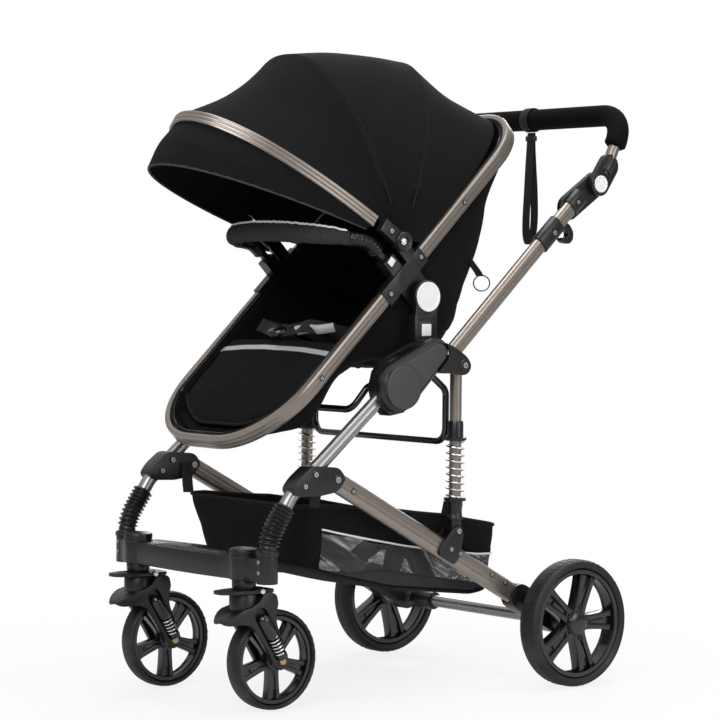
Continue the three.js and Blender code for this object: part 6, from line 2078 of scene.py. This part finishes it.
def plan_loop(half_front, half_back, y0, y1, corner, count):
    """A rounded plan outline with even steps, starting in the middle of the front."""
    outline = rounded([(half_front, y0), (half_back, y1), (-half_back, y1), (-half_front, y0)], corner, 8)
    loop = [Vector((x, y, 0)) for x, y in outline]
    loop += [loop[0]]
    even = dense(loop, total(loop) / count)[:count]
    shift = min(range(count), key=lambda i: (abs(even[i].x) + (even[i].y > (y0 + y1) / 2) * 1e4))
    return even[shift:] + even[:shift]


BASKET_MIDDLE, BASKET_HALF_X, BASKET_HALF_Y = -320, 190, 230
SOLID_FRONT = -500


def outward(p):
    """The way out of the basket at a place on its side."""
    return Vector((p.x / BASKET_HALF_X, (p.y - BASKET_MIDDLE) / BASKET_HALF_Y, 0)).normalized()


def band_row(y):
    """The row of the basket's mesh where its solid band ends, at a place along Y."""
    return 8 + 2 * math.sin(max(0.0, (y - SOLID_FRONT) / 400) * 2.2)


def make_basket():
    """The basket: a sagging bag with a solid band, netting below it, piping and its hooks."""
    count, rows, floor_rows = 168, 22, 8
    verts = []
    for r in range(rows + floor_rows + 1):
        if r <= rows:
            v = r / rows
            swell = 5 * math.sin(math.pi * v)
            half = lerp(189, 165, v ** 1.3) + swell * 0.4
            front = lerp(-545, -521, v)
            back = lerp(-108, -104, v)
            loop = plan_loop(half * lerp(0.9, 0.93, v), half, front, back, lerp(34, 46, v), count)
        else:
            share = 1 - (r - rows) / (floor_rows + 0.35)
            loop = plan_loop(165 * share * 0.93, 165 * share, -312 - 209 * share, -312 + 208 * share,
                             46 * share, count)
        for i, p in enumerate(loop):
            rim, low = follow(BASKET_TOP, p.y), follow(BASKET_LOW, p.y)
            v = min(1.0, r / rows)
            rim -= 9 * math.sin(math.pi * min(1, max(0, (p.y + 530) / 400))) * (1 if abs(p.x) > 120 else 0.2)
            z = lerp(rim, low + 3, v)
            if r > rows:
                z = low + 3 - 5 * (1 - share ** 2)
            sag = 2.2 * noise.noise(Vector((i * 0.11, r * 0.2, 4))) + 1.1 * math.sin(i * 0.75) * (1 - v) ** 2
            sag *= math.sin(math.pi * (0.15 + 0.7 * v))
            verts.append(Vector((p.x, p.y, z)) + outward(p) * sag)
    faces, places, slots = [], [], []
    for r in range(rows + floor_rows):
        for i in range(count):
            k = (i + 1) % count
            faces.append([r * count + i, r * count + k, (r + 1) * count + k, (r + 1) * count + i])
            u0, u1, v0, v1 = i * 0.0075, (i + 1) * 0.0075, r * 0.0066, (r + 1) * 0.0066
            places.append([(u0, v0), (u1, v0), (u1, v1), (u0, v1)])
            y = verts[r * count + i].y
            slots.append(1 if band_row(y) <= r < rows - 1 and y > SOLID_FRONT else 0)
    last = (rows + floor_rows) * count
    faces.append([last + i for i in range(count)])
    places.append([(0.0, 0.0)] * count)
    slots.append(0)
    form = Form()
    form.add(verts, faces, places)
    form.slots = slots
    obj = form.solid("basket_bag", ["canopy", "net"], sharp=60)
    solid = obj.modifiers.new("Thickness", "SOLIDIFY")
    solid.thickness = 1.1 * MM
    solid.offset = -1
    applied(obj)
    settled(obj, "canopy", "front_frame", "basket")

    def ring_at(row, out):
        return [p + outward(p) * out for p in verts[row * count:(row + 1) * count]]

    rim = sweep(ring_at(0, 0.2), circle(2.8, 10), (0, 0, 1), closed=True)
    rim.piece("basket_rim", "dark_binding", "front_frame")
    band_line = []
    for i in range(count):
        row = band_row(verts[i].y)
        low = int(row)
        p = verts[low * count + i].lerp(verts[(low + 1) * count + i], row - low)
        band_line.append(p + outward(p) * 1.2)
    back = sum(p.y > SOLID_FRONT for p in band_line)
    start = next(i for i in range(count) if band_line[i].y > SOLID_FRONT >= band_line[i - 1].y)
    order = [band_line[(start + i) % count] for i in range(back)]
    sweep(order, circle(1.7, 8), (0, 0, 1)).piece("basket_piping", "piping", "front_frame")
    hem = sweep(ring_at(rows, 0.6), circle(1.9, 8), (0, 0, 1), closed=True)
    hem.piece("basket_hem", "dark_binding", "front_frame")
    seam = ring_at(1, 0.3)
    stitches([*seam, seam[0]], "basket_stitches", "front_frame")
    for word, side in SIDES.items():
        hook = smooth([Vector((side * 184, -528, 342)), Vector((side * 189, -527, 362)),
                       Vector((side * 192.5, -526, 382)), Vector((side * 193.6, -526, 396))], 6)
        ribbon(hook, 22, 2.2, (0, 1, 0), f"basket_hook_{word}", "web", "front_frame")
        stay = smooth([Vector((side * 190, -240, 316)), Vector((side * 194, -240, 330)),
                       Vector((side * 196.5, -240, 340))], 5)
        ribbon(stay, 18, 1.8, (0, 1, 0), f"basket_stay_{word}", "web", "front_frame")


# ------------------------------------------------------------------ wrist strap
STRAP_X = -22
STRAP_LOOP = [(0, -24), (-2, -50), (-5, -90), (-8, -140), (-11, -190), (-10, -222), (-3, -236), (5, -224),
              (10, -190), (9, -140), (5, -90), (2, -50), (1.6, -24)]


def make_strap():
    """The wrist strap that hangs from the grip."""
    y, z = GRIP_TOP
    around = [at(STRAP_X, (y + a, z + b)) for a, b in circle(22.2, 40)]
    band = strap_section(10, 0.9, 0.5)
    hang = smooth([at(STRAP_X, (y + a, z + b)) for a, b in STRAP_LOOP], 7)
    form = merged(sweep(around, band, closed=True), sweep(hang, band))
    form.piece("wrist_strap_web", "web", "grip", "wrist_strap", sharp=40)
    keeper = block(STRAP_X - 11.5, STRAP_X + 11.5, y - 4.4, y + 4.8, z - 40, z - 30, 1.0)
    keeper.piece("wrist_strap_keeper", "plastic", "grip")


# ------------------------------------------------------------------ stage
CAMERA_PLACE = (3.6629, -2.9430, 0.7316)
CAMERA_TURN, CAMERA_TIP, CAMERA_ROLL, CAMERA_LENS = 51.235, 1.816, 0.495, 130.308
FLOOR_RADIUS = 60.0
WHITE = (1, 1, 1, 1)
LAMPS = [  # name, place, aim, size in metres, power in watts
    ("Key lamp", (2.6, -3.6, 3.4), (0, 0, 0.5), 3.0, 165),
    ("Side lamp", (4.4, 1.2, 1.8), (0, 0, 0.5), 2.4, 55),
    ("Back lamp", (-3.0, 3.4, 2.6), (0, 0, 0.6), 2.6, 90),
    ("Top lamp", (0.2, 0.2, 4.2), (0, 0, 0.5), 2.6, 105),
]


def ray_shares(tree):
    """Whether a camera, a mirrored or a passing ray asks."""
    path = tree.nodes.new("ShaderNodeLightPath")
    return [Wire(tree, path.outputs[f"Is {kind} Ray"]) for kind in ("Camera", "Glossy", "Transmission")]


def make_camera(scene):
    """The camera, in front and to the stroller's left."""
    turn, tip, roll = (math.radians(a) for a in (CAMERA_TURN, CAMERA_TIP, CAMERA_ROLL))
    back = Vector((math.sin(turn) * math.cos(tip), -math.cos(turn) * math.cos(tip), math.sin(tip)))
    right = Vector((math.cos(turn), math.sin(turn), 0))
    up = back.cross(right)
    axes = (right * math.cos(roll) + up * math.sin(roll), -right * math.sin(roll) + up * math.cos(roll), back)
    data = bpy.data.cameras.new("Camera")
    data.sensor_width = 36
    data.lens = CAMERA_LENS
    data.clip_end = 100
    camera = bpy.data.objects.new("Camera", data)
    rows = [(*(axis[i] for axis in axes), CAMERA_PLACE[i]) for i in range(3)]
    camera.matrix_world = Matrix((*rows, (0, 0, 0, 1)))
    scene.collection.objects.link(camera)
    scene.camera = camera


def make_floor(scene):
    """A pale floor that the camera sees fade into the surround."""
    data = bpy.data.meshes.new("Studio floor")
    rim = circle(FLOOR_RADIUS, 24)
    data.from_pydata([(x, y, -0.0005) for x, y in rim], [], [list(range(len(rim)))])
    floor = bpy.data.objects.new("Studio floor", data)
    scene.collection.objects.link(floor)
    f = Finish("Studio floor", (0.82, 0.82, 0.82), 0.9)
    cloud = f.place().grain(1.4, 2.0)
    f.give(Base_Color=cloud.mixed((0.80, 0.80, 0.80), (0.84, 0.84, 0.84)))
    seen, glossy, _ = ray_shares(f.tree)
    glow = f.tree.nodes.new("ShaderNodeEmission")
    glow.inputs["Color"].default_value = WHITE
    glow.inputs["Strength"].default_value = 1.0
    blend = f.tree.nodes.new("ShaderNodeMixShader")
    away = f.place().reckon("LENGTH").eased(0.5, 1.3)
    share = seen * (0.84 + away * 0.16) + glossy * 0.3
    surface = f.tree.nodes["Material Output"].inputs["Surface"]
    for source, socket in ((share.socket, blend.inputs[0]), (f.shader.outputs[0], blend.inputs[1]),
                           (glow.outputs[0], blend.inputs[2]), (blend.outputs[0], surface)):
        f.tree.links.new(source, socket)
    data.materials.append(f.material)


def make_surround(scene):
    """A white surround, which lights little and is darker low down in mirrored rays."""
    world = scene.world or bpy.data.worlds.new("Studio")
    scene.world = world
    world.use_nodes = True
    tree = world.node_tree
    ground = tree.nodes["Background"]
    shown, glossy_rays, through = ray_shares(tree)
    height = Wire(tree, tree.nodes.new("ShaderNodeTexCoord").outputs["Generated"]).parts()[2]
    low_dark = height.eased(-0.2, 0.8) * 0.75 + 0.06
    level = shown.reckon("MAXIMUM", through) * 0.9 + glossy_rays * low_dark + 0.1
    tree.links.new(level.socket, ground.inputs["Strength"])
    ground.inputs["Color"].default_value = WHITE


def make_stage():
    """A pale floor and surround, soft lamps and the camera."""
    scene = bpy.context.scene
    make_camera(scene)
    make_floor(scene)
    make_surround(scene)
    for name, place, aim, size, power in LAMPS:
        lamp = bpy.data.lights.new(name, "AREA")
        lamp.shape = "SQUARE"
        lamp.size = size
        lamp.energy = power
        obj = bpy.data.objects.new(name, lamp)
        way = Vector(aim) - Vector(place)
        obj.matrix_world = Matrix.Translation(place) @ way.to_track_quat("-Z", "Y").to_matrix().to_4x4()
        scene.collection.objects.link(obj)
    scene.view_settings.view_transform = "Standard"


# ------------------------------------------------------------------ what a user can change
class StrollerSizes(bpy.types.PropertyGroup):
    """Sizes of the details that the frame leaves free."""

    tube_groove: FloatProperty(name="Tube groove", description="Depth of the fine lines along the flat tubes",
                               default=0.0007, min=0, max=0.002, subtype="DISTANCE", unit="LENGTH")
    spring_turns: IntProperty(name="Spring turns", description="Turns of each strut's coil spring", default=8,
                              min=4, max=12)
    boot_ribs: IntProperty(name="Boot ribs", description="Ribs on each front leg's rubber boot", default=11,
                           min=5, max=16)


class StrollerColours(bpy.types.PropertyGroup):
    """Colours of the stroller's finishes."""

    frame: FloatVectorProperty(name="Frame", description="Anodised seat frame, handle, bow and rear legs",
                               default=(0.215, 0.186, 0.162), size=3, min=0, max=1, subtype="COLOR")
    legs: FloatVectorProperty(name="Legs", description="Anodised front legs and axle",
                              default=(0.235, 0.23, 0.225), size=3, min=0, max=1, subtype="COLOR")
    plastic: FloatVectorProperty(name="Plastic", description="Moulded black parts",
                                 default=(0.006, 0.0062, 0.0068), size=3, min=0, max=1, subtype="COLOR")
    cloth: FloatVectorProperty(name="Cloth", description="Hood, seat and basket cloth",
                               default=(0.0055, 0.0056, 0.0061), size=3, min=0, max=1, subtype="COLOR")
    buttons: FloatVectorProperty(name="Buttons", description="Press buttons", default=(0.9, 0.905, 0.92),
                                 size=3, min=0, max=1, subtype="COLOR")


class STROLLER_OT_stage(bpy.types.Operator):
    """Makes the floor, lamps and camera."""

    bl_idname = "stroller.stage"
    bl_label = "Stage"

    def execute(self, context):
        make_stage()
        return {"FINISHED"}


class STROLLER_OT_tubes(bpy.types.Operator):
    """Makes the metal tubes of the frame."""

    bl_idname = "stroller.tubes"
    bl_label = "Tubes"

    def execute(self, context):
        make_tubes()
        return {"FINISHED"}


class STROLLER_OT_foam(bpy.types.Operator):
    """Makes the foam grip on the handle."""

    bl_idname = "stroller.foam"
    bl_label = "Foam grip"

    def execute(self, context):
        make_foam()
        return {"FINISHED"}


class STROLLER_OT_hinges(bpy.types.Operator):
    """Makes the fold hinges and leg clamps."""

    bl_idname = "stroller.hinges"
    bl_label = "Hinges"

    def execute(self, context):
        make_hinges()
        return {"FINISHED"}


class STROLLER_OT_struts(bpy.types.Operator):
    """Makes the strut collars and coil springs."""

    bl_idname = "stroller.struts"
    bl_label = "Struts"

    def execute(self, context):
        make_struts()
        return {"FINISHED"}


class STROLLER_OT_boots(bpy.types.Operator):
    """Makes the ribbed boots on the front legs."""

    bl_idname = "stroller.boots"
    bl_label = "Leg boots"

    def execute(self, context):
        make_boots()
        return {"FINISHED"}


class STROLLER_OT_carriers(bpy.types.Operator):
    """Makes the seat's carriers, clamps and press buttons."""

    bl_idname = "stroller.carriers"
    bl_label = "Seat carriers"

    def execute(self, context):
        make_carriers()
        return {"FINISHED"}


class STROLLER_OT_handle_joints(bpy.types.Operator):
    """Makes the grip's joints and the fold catches."""

    bl_idname = "stroller.handle_joints"
    bl_label = "Handle joints"

    def execute(self, context):
        make_handle_joints()
        return {"FINISHED"}


class STROLLER_OT_base(bpy.types.Operator):
    """Makes the footboard and its caster housings."""

    bl_idname = "stroller.base"
    bl_label = "Footboard"

    def execute(self, context):
        make_base()
        return {"FINISHED"}


class STROLLER_OT_wheels(bpy.types.Operator):
    """Makes the four wheels."""

    bl_idname = "stroller.wheels"
    bl_label = "Wheels"

    def execute(self, context):
        make_wheels()
        return {"FINISHED"}


class STROLLER_OT_forks(bpy.types.Operator):
    """Makes the front wheels' forks, springs and lock levers."""

    bl_idname = "stroller.forks"
    bl_label = "Forks"

    def execute(self, context):
        make_forks()
        return {"FINISHED"}


class STROLLER_OT_brake(bpy.types.Operator):
    """Makes the axle housings and the brake pedal."""

    bl_idname = "stroller.brake"
    bl_label = "Axle and brake"

    def execute(self, context):
        make_brake()
        return {"FINISHED"}


class STROLLER_OT_screws(bpy.types.Operator):
    """Grows the screws and their collars."""

    bl_idname = "stroller.screws"
    bl_label = "Screws"

    def execute(self, context):
        make_screws()
        return {"FINISHED"}


class STROLLER_OT_hood(bpy.types.Operator):
    """Makes the hood's panels, bow, visor and seams."""

    bl_idname = "stroller.hood"
    bl_label = "Hood"

    def execute(self, context):
        make_hood()
        return {"FINISHED"}


class STROLLER_OT_shell(bpy.types.Operator):
    """Makes the seat's hammock and its zip."""

    bl_idname = "stroller.shell"
    bl_label = "Seat hammock"

    def execute(self, context):
        make_shell()
        return {"FINISHED"}


class STROLLER_OT_pads(bpy.types.Operator):
    """Makes the padded back and base by cloth simulation."""

    bl_idname = "stroller.pads"
    bl_label = "Seat pads"

    def execute(self, context):
        make_pads()
        return {"FINISHED"}


class STROLLER_OT_calf(bpy.types.Operator):
    """Makes the calf panel, its strip and its pocket."""

    bl_idname = "stroller.calf"
    bl_label = "Calf panel"

    def execute(self, context):
        make_calf()
        return {"FINISHED"}


class STROLLER_OT_harness(bpy.types.Operator):
    """Makes the harness, its buckle and the recline straps."""

    bl_idname = "stroller.harness"
    bl_label = "Harness"

    def execute(self, context):
        make_harness()
        return {"FINISHED"}


class STROLLER_OT_bumper(bpy.types.Operator):
    """Makes the bumper's sleeve, piping and ribbed arms."""

    bl_idname = "stroller.bumper"
    bl_label = "Bumper bar"

    def execute(self, context):
        make_bumper()
        return {"FINISHED"}


class STROLLER_OT_basket(bpy.types.Operator):
    """Makes the basket, its netting, piping and hooks."""

    bl_idname = "stroller.basket"
    bl_label = "Basket"

    def execute(self, context):
        make_basket()
        return {"FINISHED"}


class STROLLER_OT_strap(bpy.types.Operator):
    """Makes the wrist strap on the grip."""

    bl_idname = "stroller.strap"
    bl_label = "Wrist strap"

    def execute(self, context):
        make_strap()
        return {"FINISHED"}


STEPS = (
    STROLLER_OT_stage, STROLLER_OT_tubes, STROLLER_OT_foam, STROLLER_OT_hinges, STROLLER_OT_struts,
    STROLLER_OT_boots, STROLLER_OT_carriers, STROLLER_OT_handle_joints, STROLLER_OT_base,
    STROLLER_OT_wheels, STROLLER_OT_forks, STROLLER_OT_brake, STROLLER_OT_screws, STROLLER_OT_hood,
    STROLLER_OT_shell, STROLLER_OT_pads, STROLLER_OT_calf, STROLLER_OT_harness, STROLLER_OT_bumper,
    STROLLER_OT_basket, STROLLER_OT_strap,
)


class STROLLER_PT_panel(bpy.types.Panel):
    """Lists the stroller's sizes, colours and steps."""

    bl_idname = "STROLLER_PT_panel"
    bl_label = "Baby stroller"
    bl_space_type = "VIEW_3D"
    bl_region_type = "UI"
    bl_category = "Stroller"

    def draw(self, context):
        scene = context.scene
        for group in (scene.stroller_sizes, scene.stroller_colours):
            box = self.layout.box()
            for name in type(group).__annotations__:
                box.prop(group, name)
        for step in STEPS:
            self.layout.operator(step.bl_idname)


CLASSES = (StrollerSizes, StrollerColours, *STEPS, STROLLER_PT_panel)


def register():
    """Adds the classes and the scene's settings."""
    for cls in CLASSES:
        bpy.utils.register_class(cls)
    bpy.types.Scene.stroller_sizes = PointerProperty(type=StrollerSizes)
    bpy.types.Scene.stroller_colours = PointerProperty(type=StrollerColours)


def unregister():
    """Takes them away again."""
    del bpy.types.Scene.stroller_colours
    del bpy.types.Scene.stroller_sizes
    for cls in reversed(CLASSES):
        bpy.utils.unregister_class(cls)


def main():
    """Makes every piece in order."""
    register()
    for step in STEPS:
        group, name = step.bl_idname.split(".")
        getattr(getattr(bpy.ops, group), name)()


if __name__ == "__main__":
    main()
